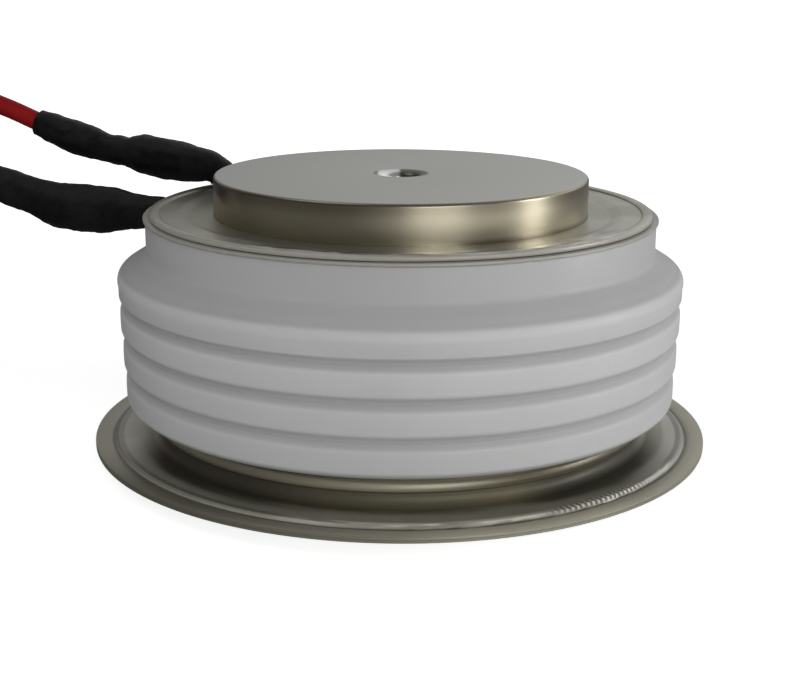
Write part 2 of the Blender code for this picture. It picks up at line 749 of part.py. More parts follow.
tag_foot = radial(TAG_DIRECTION, 0.5 * (flat_start + bead_start), flange_top_z + SEAT)
tag_way = radial(GATE_DIRECTION, 1.0, 0.0)
tag_points = [tag_foot + tag_way * along + Vector((0.0, 0.0, up)) for along, up in TAG_BEND]
tag_end = tag_points[-1]
crimp_way = (tag_end - tag_points[-2]).normalized()
cathode_lead_start = tag_end + crimp_way * (CRIMP_LENGTH + 2 * SEAT)
CATHODE_ROUTE = [
    (-0.0367, 0.0190, 0.0291),
    (-0.0405, 0.0200, 0.0305),
    (-0.0455, 0.0210, 0.0325),
    (-0.0500, 0.0215, 0.0338),
    (-0.0547, 0.0217, 0.0318),
    (-0.0580, 0.0219, 0.0246),
    (-0.0592, 0.0222, 0.0164),
    (-0.0594, 0.0237, 0.0108),
    (-0.0594, 0.0270, 0.0086),
]


def build_crimp(name, start, way):
    """Barrel pressed on a wire's end, with two narrow waists."""
    outline = [(0.0, 0.0), (CRIMP_RADIUS, 0.0)]
    for share in (0.25, 0.65):
        middle = CRIMP_LENGTH * share
        half = 0.12 * CRIMP_LENGTH
        outline += [
            (CRIMP_RADIUS, middle - half),
            (CRIMP_WAIST, middle - 0.5 * half),
            (CRIMP_WAIST, middle + 0.5 * half),
            (CRIMP_RADIUS, middle + half),
        ]
    outline += [(CRIMP_RADIUS, CRIMP_LENGTH), (0.0, CRIMP_LENGTH)]
    crimp = turned(name, outline, COPPER, WIRE_SIDES, open_at_axis=True)
    lay_along(crimp, start, way)
    return crimp


def straight(start, way, length, steps):
    """Evenly spaced points on a straight line."""
    return [start + way * (length * step / steps) for step in range(steps + 1)]


def lead_points(start, way, route):
    """Points of a lead that leaves its crimp straight and then follows its route."""
    lead_in = start + way * LEAD_IN
    return [start] + smooth_route([lead_in] + route, LEAD_POINT_SPACING)


def build_gate_lead():
    """Gate lead with its sleeve over the tube, the crimp and the lead's first stretch."""
    build_crimp("gate_crimp", gate_tube_end, gate_way)
    points = lead_points(gate_lead_start, gate_way, GATE_ROUTE)
    free_tube("gate_lead", points, LEAD_RADIUS, WHITE_WIRE)
    fat_bore = CRIMP_RADIUS + SLEEVE_CLEARANCE
    thin_bore = LEAD_RADIUS + SLEEVE_CLEARANCE
    head_start = radial(GATE_DIRECTION, neck_radius + GATE_SLEEVE_GAP, gate_z)
    head_length = (gate_lead_start - head_start).length
    head = straight(head_start, gate_way, head_length, 5)
    tail = points[1:4]
    ways = [gate_way] * len(head) + headings(points)[1:4]
    radii = [0.0016, 0.00175, 0.0020, 0.00235, 0.00255, 0.00262, 0.00262, 0.00205, 0.0019]
    bores = [thin_bore] * 2 + [fat_bore] * (len(head) - 2) + [thin_bore] * len(tail)
    swept("gate_sleeve", head + tail, radii, BLACK_SLEEVE, bores, ways)
    build_coil("gate", GATE_COIL_CENTRE, -1, WHITE_WIRE)


def build_cathode_lead():
    """Auxiliary cathode lead: welded tag, crimp, two overlapping sleeves and the wire."""
    tag_radii = [TAG_FOOT_RADIUS] + [TAG_RADIUS] * (len(tag_points) - 1)
    swept("cathode_tag", tag_points, tag_radii, COPPER, sides=8)
    build_crimp("cathode_crimp", tag_end + crimp_way * SEAT, crimp_way)
    points = lead_points(cathode_lead_start, crimp_way, CATHODE_ROUTE)
    free_tube("cathode_lead", points, LEAD_RADIUS, RED_WIRE)
    fat_bore = CRIMP_RADIUS + SLEEVE_CLEARANCE
    thin_bore = LEAD_RADIUS + SLEEVE_CLEARANCE
    head_length = (cathode_lead_start - tag_end).length
    head = tag_points[1:-1] + straight(tag_end, crimp_way, head_length, 4)
    radii = [0.00125, 0.00145, 0.00165, 0.0019, 0.00215, 0.0023, 0.0023, 0.0022, 0.0018]
    bores = [TAG_RADIUS + SLEEVE_CLEARANCE] * 3 + [fat_bore] * 6
    swept("cathode_sleeve_large", head, radii, BLACK_SLEEVE, bores)
    small = [cathode_lead_start + crimp_way * SEAT] + points[1:4]
    small_radii = [0.00165, 0.0016, 0.0019, 0.00145]
    ways = headings(points)[:4]
    swept("cathode_sleeve_small", small, small_radii, BLACK_SLEEVE, [thin_bore] * 4, ways)
    build_coil("cathode", CATHODE_COIL_CENTRE, 1, RED_WIRE)


def build_coil(owner, centre, turn, wire_look):
    """The rest of a lead: its coil, the tie round it, the tail and the ring terminal."""
    inner = COIL_TURN_RADIUS - 0.5 * coil_width
    outer = COIL_TURN_RADIUS + 0.5 * coil_width
    corner = 0.25 * COIL_PITCH
    section = [
        (inner + corner, coil_z),
        (outer - corner, coil_z),
        (outer, coil_z + corner),
        (outer, coil_top_z - corner),
        (outer - corner, coil_top_z),
        (inner + corner, coil_top_z),
        (inner, coil_top_z - corner),
        (inner, coil_z + corner),
    ]
    ring = turned(owner + "_lead_coil", section, wire_look, INNER_SIDES)
    ring.location = centre
    build_coil_tie(owner, centre)
    start = centre + Vector((0.0, turn * (outer + LEAD_RADIUS + 2 * LOOSE), LEAD_RADIUS + LOOSE))
    along = Vector((-1.0, 0.0, 0.0))
    tail_route = [
        start,
        start + along * 0.004 + Vector((0.0, turn * 0.0002, 0.0)),
        start + along * 0.008 + Vector((0.0, turn * 0.0002, 0.0001)),
        start + along * 0.013 + Vector((0.0, turn * 0.0002, 0.0012)),
        start + along * 0.021 + Vector((0.0, turn * 0.0002, 0.0014)),
    ]
    tail = smooth_route(tail_route, LEAD_POINT_SPACING)
    free_tube(owner + "_lead_tail", tail, LEAD_RADIUS, wire_look)
    build_terminal(owner, tail[-1] + along * SEAT, along)


def build_coil_tie(owner, centre):
    """A band round the coil's section on the side away from the capsule."""
    bm = bmesh.new()
    half_width = 0.5 * coil_width
    rings = []
    for side in (-0.5, 0.5):
        for clear in (LOOSE, LOOSE + TIE_THICKNESS):
            low = coil_z - clear
            high = coil_top_z + clear
            ring = []
            for across, up in ((-1, low), (1, low), (1, high), (-1, high)):
                out = COIL_TURN_RADIUS + across * (half_width + clear)
                ring.append(bm.verts.new(centre + Vector((-out, side * TIE_WIDTH, up))))
            rings.append(ring)
    join_rings(bm, [rings[0], rings[1], rings[3], rings[2], rings[0]])
    finish_mesh(owner + "_coil_tie", bm, TIE_NYLON)


def build_terminal(owner, start, way):
    """Ring terminal: barrel on the wire, tongue and flat ring with its hole."""
    barrel = disc_outline(0.0, TERMINAL_BARREL_RADIUS, 0.0, TERMINAL_BARREL_LENGTH)
    terminal = turned(owner + "_ring_terminal", barrel, COPPER, SMALL_SIDES, open_at_axis=True)
    lay_along(terminal, start, way)
    ring_centre = start + way * (TERMINAL_BARREL_LENGTH + TERMINAL_TONGUE)
    plate_z = start.z - TERMINAL_BARREL_RADIUS + TERMINAL_PLATE_LIFT
    ring = disc_outline(0.0, TERMINAL_RING_RADIUS, 0.0, TERMINAL_PLATE)
    ring = turned(owner + "_terminal_ring_form", ring, COPPER, SMALL_SIDES, open_at_axis=True)
    ring.location = (ring_centre.x, ring_centre.y, plate_z)
    join(terminal, ring)
    join(terminal, tongue_form(owner, start, way, ring_centre, plate_z))
    bore = [
        (0.0, -TERMINAL_PLATE),
        (TERMINAL_HOLE_RADIUS, -TERMINAL_PLATE),
        (TERMINAL_HOLE_RADIUS, 2 * TERMINAL_PLATE),
        (0.0, 2 * TERMINAL_PLATE),
    ]
    hole = turned(owner + "_terminal_hole_cutter", bore, COPPER, SMALL_SIDES, open_at_axis=True)
    hole.location = (ring_centre.x, ring_centre.y, plate_z)
    cut(terminal, hole)
    bore_radius_over = TERMINAL_BARREL_RADIUS + LOOSE
    sleeve = disc_outline(
        bore_radius_over, bore_radius_over + TERMINAL_SLEEVE_WALL, 0.0, TERMINAL_SLEEVE_LENGTH
    )
    piece = turned(owner + "_terminal_sleeve", sleeve, BLACK_SLEEVE, SMALL_SIDES)
    back = TERMINAL_SLEEVE_LENGTH - TERMINAL_SLEEVE_LAP
    lay_along(piece, start - way * back, way)


def tongue_form(owner, start, way, ring_centre, plate_z):
    """The flat tongue between the barrel and the ring."""
    bm = bmesh.new()
    bmesh.ops.create_cube(bm, size=1.0)
    root = start + way * (TERMINAL_BARREL_LENGTH - TERMINAL_TONGUE_LAP)
    length = (ring_centre - root).length - 0.6 * TERMINAL_RING_RADIUS
    middle = root + way * (0.5 * length)
    size = Matrix.Diagonal((length, TERMINAL_TONGUE_WIDTH, TERMINAL_PLATE, 1.0))
    place = Matrix.Translation((middle.x, middle.y, plate_z + 0.5 * TERMINAL_PLATE))
    bm.transform(place @ size)
    return finish_mesh(owner + "_terminal_tongue_form", bm, COPPER)


def join(piece, form):
    """Adds another form's shape to a piece."""
    form.hide_render = True
    form.display_type = "WIRE"
    boolean = piece.modifiers.new("join", "BOOLEAN")
    boolean.operation = "UNION"
    boolean.solver = "EXACT"
    boolean.object = form


def main():
    for piece in list(bpy.data.objects):
        bpy.data.objects.remove(piece)
    build_anode_pole()
    build_anode_flange()
    build_lower_weld_ring()
    build_ceramic_ring()
    build_upper_weld_ring()
    build_cathode_flange()
    build_cathode_pole()
    build_stack()
    build_gate_contact()
    build_gate_wire()
    build_gate_tube()
    build_gate_lead()
    build_cathode_lead()


main()
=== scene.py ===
"""Visual model of a round ceramic press-pack capsule with a gate lead and an auxiliary cathode lead.

Lengths are metres and +Z is up. The anode contact face lies on z = 0 with its centre at the origin.
"""

import math

import bmesh
import bpy
from mathutils import Matrix, Vector


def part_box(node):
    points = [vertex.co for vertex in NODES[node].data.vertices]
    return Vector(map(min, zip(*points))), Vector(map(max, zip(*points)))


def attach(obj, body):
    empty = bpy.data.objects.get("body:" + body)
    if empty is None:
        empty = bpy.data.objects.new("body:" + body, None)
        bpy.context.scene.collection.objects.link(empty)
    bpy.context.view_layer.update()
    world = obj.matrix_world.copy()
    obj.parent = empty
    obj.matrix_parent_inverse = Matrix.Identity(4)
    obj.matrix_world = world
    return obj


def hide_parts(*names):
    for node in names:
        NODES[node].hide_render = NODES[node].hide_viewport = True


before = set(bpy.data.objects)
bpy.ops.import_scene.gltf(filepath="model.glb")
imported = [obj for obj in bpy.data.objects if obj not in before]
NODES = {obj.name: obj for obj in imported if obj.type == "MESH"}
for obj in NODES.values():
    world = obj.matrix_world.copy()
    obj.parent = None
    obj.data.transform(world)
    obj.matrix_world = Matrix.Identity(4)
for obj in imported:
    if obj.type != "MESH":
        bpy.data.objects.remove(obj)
bpy.ops.object.select_all(action="DESELECT")
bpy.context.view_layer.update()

# Steps round a full turn
CASE_STEPS = 192
SMALL_STEPS = 48
TUBE_STEPS = 8

# Contact pieces
CONTACT_RADIUS = 0.0187
CONTACT_EDGE = 0.00035
SHOULDER_RADIUS = 0.0193
LOCATING_RADIUS = 0.0018
LOCATING_DEPTH = 0.0020
MOUTH_WIDTH = 0.0011
MOUTH_DEPTH = 0.0008
ANODE_POLE_HEIGHT = 0.0106
SEAT = 0.00003
WELL_RADIUS = 0.0045
WELL_DEPTH = 0.0072
WIRE_SLOT_PLACE = (0.013, 0.0, 0.0012)
WIRE_SLOT_SIZE = (0.022, 0.0022, 0.0036)

# Ceramic ring
BORE_RADIUS = 0.0218
NECK_RADIUS = 0.02545
CERAMIC_Z = 0.00548
SHED_COUNT = 4
SHED_PITCH = 0.0035
SHED_REACH_BOTTOM = 0.00245
SHED_REACH_TOP = 0.0029
GROOVE_DEPTH = 0.00056
GROOVE_HALF = 0.25
CROWN_SHARE = 0.1
HOLLOW_RISE = 2.0
FIRST_SHARE = 0.075
NOSE_RADIUS = 0.00125
NOSE_LIFT = 0.0021
NECK_FILLET = 0.00075
NECK_CHAMFER = 0.0002
FOOT_CHAMFER = 0.0007
CREST_STEPS = 20
LAST_CREST_SHARE = 0.04
SHED_TOP_Z = CERAMIC_Z + SHED_COUNT * SHED_PITCH
CERAMIC_TOP_Z = SHED_TOP_Z + 0.0044
GATE_Z = CERAMIC_TOP_Z - 0.0017
GATE_DIRECTION = math.radians(160.0)
GATE_TUBE_RADIUS = 0.00085

# Thin flanges
SHEET = 0.00027
RIM_Z = 0.0014
RIM_RADIUS = 0.0312
RIM_EDGE = 0.00006
WELD_RING_Z = RIM_Z + SHEET + SEAT
WELD_FLOOR_Z = WELD_RING_Z + 0.00017
WELD_GROOVE = 0.00035
GROOVE_RADIUS = RIM_RADIUS - 0.0018
WELD_FILLET = 0.00095
COLLAR_RADIUS = NECK_RADIUS - 0.0004
WAIST_RADIUS = COLLAR_RADIUS - 0.0004
COLLAR_BEAD_Z = CERAMIC_Z - 0.0015
COLLAR_BEAD_REACH = 0.0003
COLLAR_BEAD_HALF = 0.0006
UPPER_RING_Z = CERAMIC_TOP_Z + SEAT
UPPER_RING_THICKNESS = 0.00025
FLANGE_Z = UPPER_RING_Z + UPPER_RING_THICKNESS + 2 * SEAT
MOAT_Z = FLANGE_Z - 0.00026
MOAT_EDGE = CONTACT_RADIUS + 0.0024
FLAT_START = BORE_RADIUS + UPPER_RING_THICKNESS
FLANGE_TOP_Z = FLANGE_Z + SHEET
BEAD_HEIGHT = 0.00022
BEAD_WIDTH = 0.0011
CATHODE_RIM_RADIUS = NECK_RADIUS - 0.0004
UPPER_RING_RADIUS = NECK_RADIUS + 0.0002
UPPER_RING_EDGE = 0.00004
FOOT_Z = MOAT_Z + SHEET
TOP_Z = FOOT_Z + 0.0038

# Leads
LEAD_RADIUS = 0.00105
COIL_MEAN_RADIUS = 0.0106
COIL_PITCH = 0.0021
COIL_BASE_Z = 0.0008
COIL_CENTRES = {"gate": Vector((-0.0700, -0.0040, 0.0)), "cathode": Vector((-0.0700, 0.0265, 0.0))}
COIL_TURN_WAY = {"gate": -1, "cathode": 1}
TAIL_RADIUS = 0.01405
TAIL_HEIGHT = 0.0012
TAIL_EASE = 60.0
LEAD_WAY = Vector((math.cos(GATE_DIRECTION), math.sin(GATE_DIRECTION), 0.0))
GATE_LEAD_START = Vector((-0.03431, 0.01249, 0.02218))
CATHODE_FOOT = Vector((-0.01907, 0.01286, 0.02452))
CATHODE_TAG_END = CATHODE_FOOT + LEAD_WAY * 0.0056 + Vector((0.0, 0.0, 0.00255))
CRIMP_WAY = (LEAD_WAY * 0.0023 + Vector((0.0, 0.0, 0.00025))).normalized()
CATHODE_LEAD_START = CATHODE_TAG_END + CRIMP_WAY * 0.00606
LEAD_STARTS = {"gate": GATE_LEAD_START, "cathode": CATHODE_LEAD_START}
LEAD_WAYS = {"gate": LEAD_WAY, "cathode": CRIMP_WAY}
LEAD_ROUTES = {
    "gate": [
        (-0.0398, 0.0142, 0.0231), (-0.0443, 0.0150, 0.0245), (-0.0500, 0.0151, 0.0255), (-0.0555, 0.0134, 0.0226),
        (-0.0586, 0.0094, 0.0162), (-0.0594, 0.0046, 0.0108), (-0.0594, -0.0010, 0.0086),
    ],
    "cathode": [
        (-0.0367, 0.0190, 0.0291), (-0.0405, 0.0200, 0.0305), (-0.0455, 0.0210, 0.0325), (-0.0500, 0.0215, 0.0338),
        (-0.0547, 0.0217, 0.0318), (-0.0580, 0.0219, 0.0246), (-0.0592, 0.0222, 0.0164), (-0.0594, 0.0237, 0.0108),
        (-0.0594, 0.0270, 0.0086),
    ],
}
TAIL_STEPS = [(0.004, 0.0002, 0.0), (0.008, 0.0002, 0.0001), (0.013, 0.0002, 0.0012), (0.021, 0.0002, 0.0014)]

# Cable ties
TIE_CLEARANCE = 0.00015
TIE_CORNER = 0.0007
TIE_WIDTH = 0.0022
TIE_WALL = 0.0005
TIE_HEAD_SIZE = (0.0022, 0.0034, 0.0030)
TIE_HEAD_OFFSET = Vector((-0.0013, 0.0, 0.0014))
TIE_MOUTH_RIM = 0.0004
TIE_MOUTH_DEPTH = 0.0008
TIE_TIP_SIZE = (0.0006, 0.0018, 0.0026)
TIE_TIP_RISE = 0.0022

# Ring terminals
LUG_RADIUS = 0.0040
LUG_HOLE_RADIUS = 0.00215
LUG_REACH = 0.0112
LUG_DROP = 0.0016
LUG_SHEET = 0.0008
LUG_EDGE = 0.0001
TONGUE_SIZE = (0.0050, 0.0032, LUG_SHEET)
TONGUE_START = 0.0036
BARREL_RADIUS = 0.0017
BARREL_WALL = 0.0004
BARREL_MOUTH_DEPTH = 0.0009
BARREL_RINGS = [
    (0.0008, 1.0), (0.0014, 0.86), (0.0020, 0.80), (0.0030, 0.80), (0.0036, 0.86), (0.0042, 1.0), (0.0050, 1.0),
]

# Camera
CAMERA_PLACE = (-0.00051, -0.14078, 0.04862)
CAMERA_LENS = 63.49
CAMERA_HEADING = -0.206
CAMERA_DIP = 15.239
CAMERA_ROLL = 0.294


# Node helpers


def add_node(tree, kind, sockets=None, **settings):
    """Adds a node, sets its properties, and fills or links its inputs. Colours are given without their alpha."""
    node = tree.nodes.new("ShaderNode" + kind)
    for name, value in settings.items():
        setattr(node, name, value)
    for key, value in (sockets or {}).items():
        socket = node.inputs[key]
        if isinstance(value, bpy.types.NodeSocket):
            tree.links.new(value, socket)
        else:
            socket.default_value = (*value, 1.0) if socket.type == "RGBA" else value
    return node


def maths(tree, operation, *values):
    """A math node's result."""
    return add_node(tree, "Math", dict(enumerate(values)), operation=operation).outputs[0]


def between(tree, value, low, high, to_low=0.0, to_high=1.0):
    """A value mapped smoothly from one range to another and held at its ends."""
    sockets = {"Value": value, "From Min": low, "From Max": high, "To Min": to_low, "To Max": to_high}
    return add_node(tree, "MapRange", sockets, interpolation_type="SMOOTHSTEP").outputs[0]


def product(tree, *values):
    """Values multiplied in turn. A tuple stands for the smooth ramp between its numbers."""
    result = None
    for value in values:
        value = between(tree, *value) if isinstance(value, tuple) else value
        result = value if result is None else maths(tree, "MULTIPLY", result, value)
    return result


def raised(tree, value, factor, base):
    """A base raised by a value times a factor."""
    return maths(tree, "MULTIPLY_ADD", value, factor, base)


def mixed(tree, share, first, second):
    """One colour mixed into another."""
    sockets = {0: share, 6: first, 7: second}
    return add_node(tree, "Mix", sockets, data_type="RGBA").outputs[2]


def painted(tree, colour, *layers):
    """A colour with other tones laid over it in turn, each as far as the product of its masks says."""
    for tone, *masks in layers:
        colour = mixed(tree, product(tree, *masks), colour, tone)
    return colour


def noise(tree, scale, detail, roughness, place=None):
    """Noise over a place, 0 to 1."""
    sockets = {"Vector": place or object_place(tree), "Scale": scale, "Detail": detail, "Roughness": roughness}
    return add_node(tree, "TexNoise", sockets).outputs["Fac"]


def new_group(name, inputs, outputs):
    """An empty shader node group with its sockets."""
    tree = bpy.data.node_groups.new(name, "ShaderNodeTree")
    kinds = {"value": "NodeSocketFloat", "colour": "NodeSocketColor", "vector": "NodeSocketVector"}
    for label, kind, default in inputs:
        socket = tree.interface.new_socket(label, in_out="INPUT", socket_type=kinds[kind])
        socket.default_value = default
    for label, kind in outputs:
        tree.interface.new_socket(label, in_out="OUTPUT", socket_type=kinds[kind])
    return tree, tree.nodes.new("NodeGroupInput").outputs, tree.nodes.new("NodeGroupOutput").inputs


def object_place(tree):
    """Object coordinates, which are the row frame's metres."""
    return add_node(tree, "TexCoord").outputs["Object"]


# Shared effects


def round_axis_group():
    """Radius, angle and height about the capsule's axis, the place across it, and a place that flows round it."""
    tree, _, out = new_group(
        "round the axis",
        [],
        [("Radius", "value"), ("Angle", "value"), ("Height", "value"), ("Across", "value"), ("Flow", "vector")],
    )
    split = add_node(tree, "SeparateXYZ", {0: object_place(tree)}).outputs
    square = maths(tree, "ADD", product(tree, split[0], split[0]), product(tree, split[1], split[1]))
    radius = maths(tree, "SQRT", square)
    angle = maths(tree, "ARCTAN2", split[1], split[0])
    along = {0: radius, 1: product(tree, angle, 0.004), 2: split[2]}
    flow = add_node(tree, "CombineXYZ", along).outputs[0]
    for value, socket in zip((radius, angle, split[2], split[0], flow), out):
        tree.links.new(value, socket)


def mottle_group():
    """Cloudy change from one tone to another, with finer specks in it."""
    tree, given, out = new_group(
        "mottled tone",
        [
            ("Tone", "colour", (0.5, 0.5, 0.5, 1.0)),
            ("Other Tone", "colour", (0.4, 0.4, 0.4, 1.0)),
            ("Cloud Scale", "value", 120.0),
            ("Speck Scale", "value", 1500.0),
            ("Specks", "value", 0.2),
        ],
        [("Tone", "colour"), ("Cloud", "value"), ("Speck", "value")],
    )
    cloud = between(tree, noise(tree, given["Cloud Scale"], 4.0, 0.55), 0.35, 0.65)
    speck = between(tree, noise(tree, given["Speck Scale"], 2.0, 0.6), 0.45, 0.7)
    share = maths(tree, "ADD", product(tree, cloud, 0.8), product(tree, speck, given["Specks"]))
    tree.links.new(mixed(tree, share, given["Tone"], given["Other Tone"]), out["Tone"])
    tree.links.new(cloud, out["Cloud"])
    tree.links.new(speck, out["Speck"])


def wear_group():
    """Fine handling scratches, as a mask and a height."""
    tree, given, out = new_group(
        "handling marks",
        [("Scratch Scale", "value", 90.0), ("Width", "value", 0.03), ("Share", "value", 0.5)],
        [("Scratches", "value"), ("Height", "value")],
    )
    place = object_place(tree)
    marks = None
    for turn, stretch in ((0.6, (1.0, 9.0, 1.0)), (2.1, (7.0, 1.0, 1.0)), (1.3, (1.0, 12.0, 3.0))):
        moved = {"Vector": place, "Rotation": (0.0, 0.3 * turn, turn), "Scale": stretch}
        moved = add_node(tree, "Mapping", moved).outputs[0]
        cloud = noise(tree, given["Scratch Scale"], 1.0, 0.4, moved)
        line = maths(tree, "ABSOLUTE", maths(tree, "SUBTRACT", cloud, 0.5))
        line = maths(tree, "LESS_THAN", line, product(tree, given["Width"], 0.1))
        marks = line if marks is None else maths(tree, "MAXIMUM", marks, line)
    marks = product(tree, marks, (noise(tree, 230.0, 2.0, 0.5), 0.5, 0.62), given["Share"])
    tree.links.new(marks, out["Scratches"])
    tree.links.new(product(tree, marks, -1.0), out["Height"])


def machining_group():
    """Fine rings left round the axis by turning or lapping."""
    tree, given, out = new_group(
        "rings round the axis",
        [("Rings", "value", 9000.0), ("Waver", "value", 0.3)],
        [("Height", "value")],
    )
    radius, angle, height, _, _ = shared(tree, "round the axis")
    place = {
        0: product(tree, radius, given["Rings"]),
        1: product(tree, height, given["Rings"]),
        2: product(tree, angle, given["Waver"]),
    }
    place = add_node(tree, "CombineXYZ", place).outputs[0]
    tree.links.new(noise(tree, 1.0, 2.0, 0.6, place), out["Height"])


def shared(tree, label, sockets=None):
    """Places a shared effect in a material or in another effect."""
    return add_node(tree, "Group", sockets, node_tree=bpy.data.node_groups[label]).outputs


for make_group in (round_axis_group, mottle_group, wear_group, machining_group):
    make_group()


# Materials


def new_material(name, **values):
    """A material with plain values on its Principled shader."""
    look = bpy.data.materials.new(name)
    look.use_nodes = True
    tree = look.node_tree
    shader = tree.nodes["Principled BSDF"]
    for label, value in values.items():
        shader.inputs[label.replace("_", " ")].default_value = value
    return look, tree, shader


def mottled(tree, tone, other, cloud, specks=0.2):
    """The shared mottled tone between two colours."""
    return shared(tree, "mottled tone", {"Tone": tone, "Other Tone": other, "Cloud Scale": cloud, "Specks": specks})


def connect(tree, shader, colour, roughness, height, depth):
    """Feeds a shader its colour, its roughness and, as its normal, a height in metres times depth."""
    normal = add_node(tree, "Bump", {"Height": height, "Distance": depth}).outputs[0]
    for label, value in (("Base Color", colour), ("Roughness", roughness), ("Normal", normal)):
        tree.links.new(value, shader.inputs[label])


def pole_finish(tree, colour, face_tone):
    """The tones of a pole piece, from its lapped face to the painted shade on its side and in its hole and the hole's
    painted glint, and the face's mask.
    """
    radius, _, height, across, _ = shared(tree, "round the axis")
    normal = add_node(tree, "NewGeometry").outputs["Normal"]
    upright = add_node(tree, "SeparateXYZ", {0: normal}).outputs[2]
    face = product(tree, (maths(tree, "ABSOLUTE", upright), 0.80, 0.98), (radius, 0.0191, 0.0188))
    side = product(tree, maths(tree, "SUBTRACT", 1.0, face), (radius, 0.0182, 0.0185))
    hole = product(tree, (radius, 0.0029, 0.0026), 0.75)
    edge_shade = (height, TOP_Z - 0.0017, TOP_Z - 0.0004, 0.0, 0.7)
    foot_shade = (height, FOOT_Z + 0.0006, FOOT_Z, 0.0, 0.7)
    colour = painted(
        tree,
        colour,
        (face_tone, face),
        # painted shade: the side darker just under its top edge
        ((0.24, 0.215, 0.16), side, edge_shade),
        # painted shadow: the side darker at its base, more so towards the right
        ((0.12, 0.10, 0.075), side, foot_shade, (height, FOOT_Z - 0.002, FOOT_Z - 0.001), (across, 0.002, 0.007)),
        # painted shade: the side darker at its right end
        ((0.17, 0.165, 0.13), side, (across, 0.0160, 0.0180, 0.0, 0.45)),
        # painted shade: the inside of the hole dark
        ((0.08, 0.08, 0.075), hole),
        # painted glint: the hole pale on its left half
        ((0.95, 0.95, 0.95), hole, (across, 0.0001, -0.0003), (across, -0.0025, -0.0021)),
    )
    return colour, face


def plated_metal(name, tone, other, rough, rough_other, rings=0.0, face_tone=None, marks=0.5):
    """Bright metal: cloudy tone, machining rings and handling marks, and on the pole pieces their lapped face with
    painted shade and a painted glint.
    """
    look, tree, shader = new_material(name, Metallic=1.0)
    tones = mottled(tree, tone, other, 95.0, 0.25)
    wear = shared(tree, "handling marks", {"Share": marks})
    colour = tones["Tone"]
    ring_share = 1.0
    roughness = raised(tree, tones["Cloud"], rough_other - rough, rough)
    if face_tone is not None:
        colour, face = pole_finish(tree, colour, face_tone)
        roughness = raised(tree, face, 0.16, roughness)
        ring_share = product(tree, face, 0.9)
    colour = painted(tree, colour, ((0.55, 0.54, 0.50), wear["Scratches"], 0.5))
    height = product(tree, wear["Height"], 0.15)
    if rings:
        turning = shared(tree, "rings round the axis", {"Rings": rings})
        height = raised(tree, turning["Height"], ring_share, height)
    connect(tree, shader, colour, roughness, height, 0.000012)
    return look


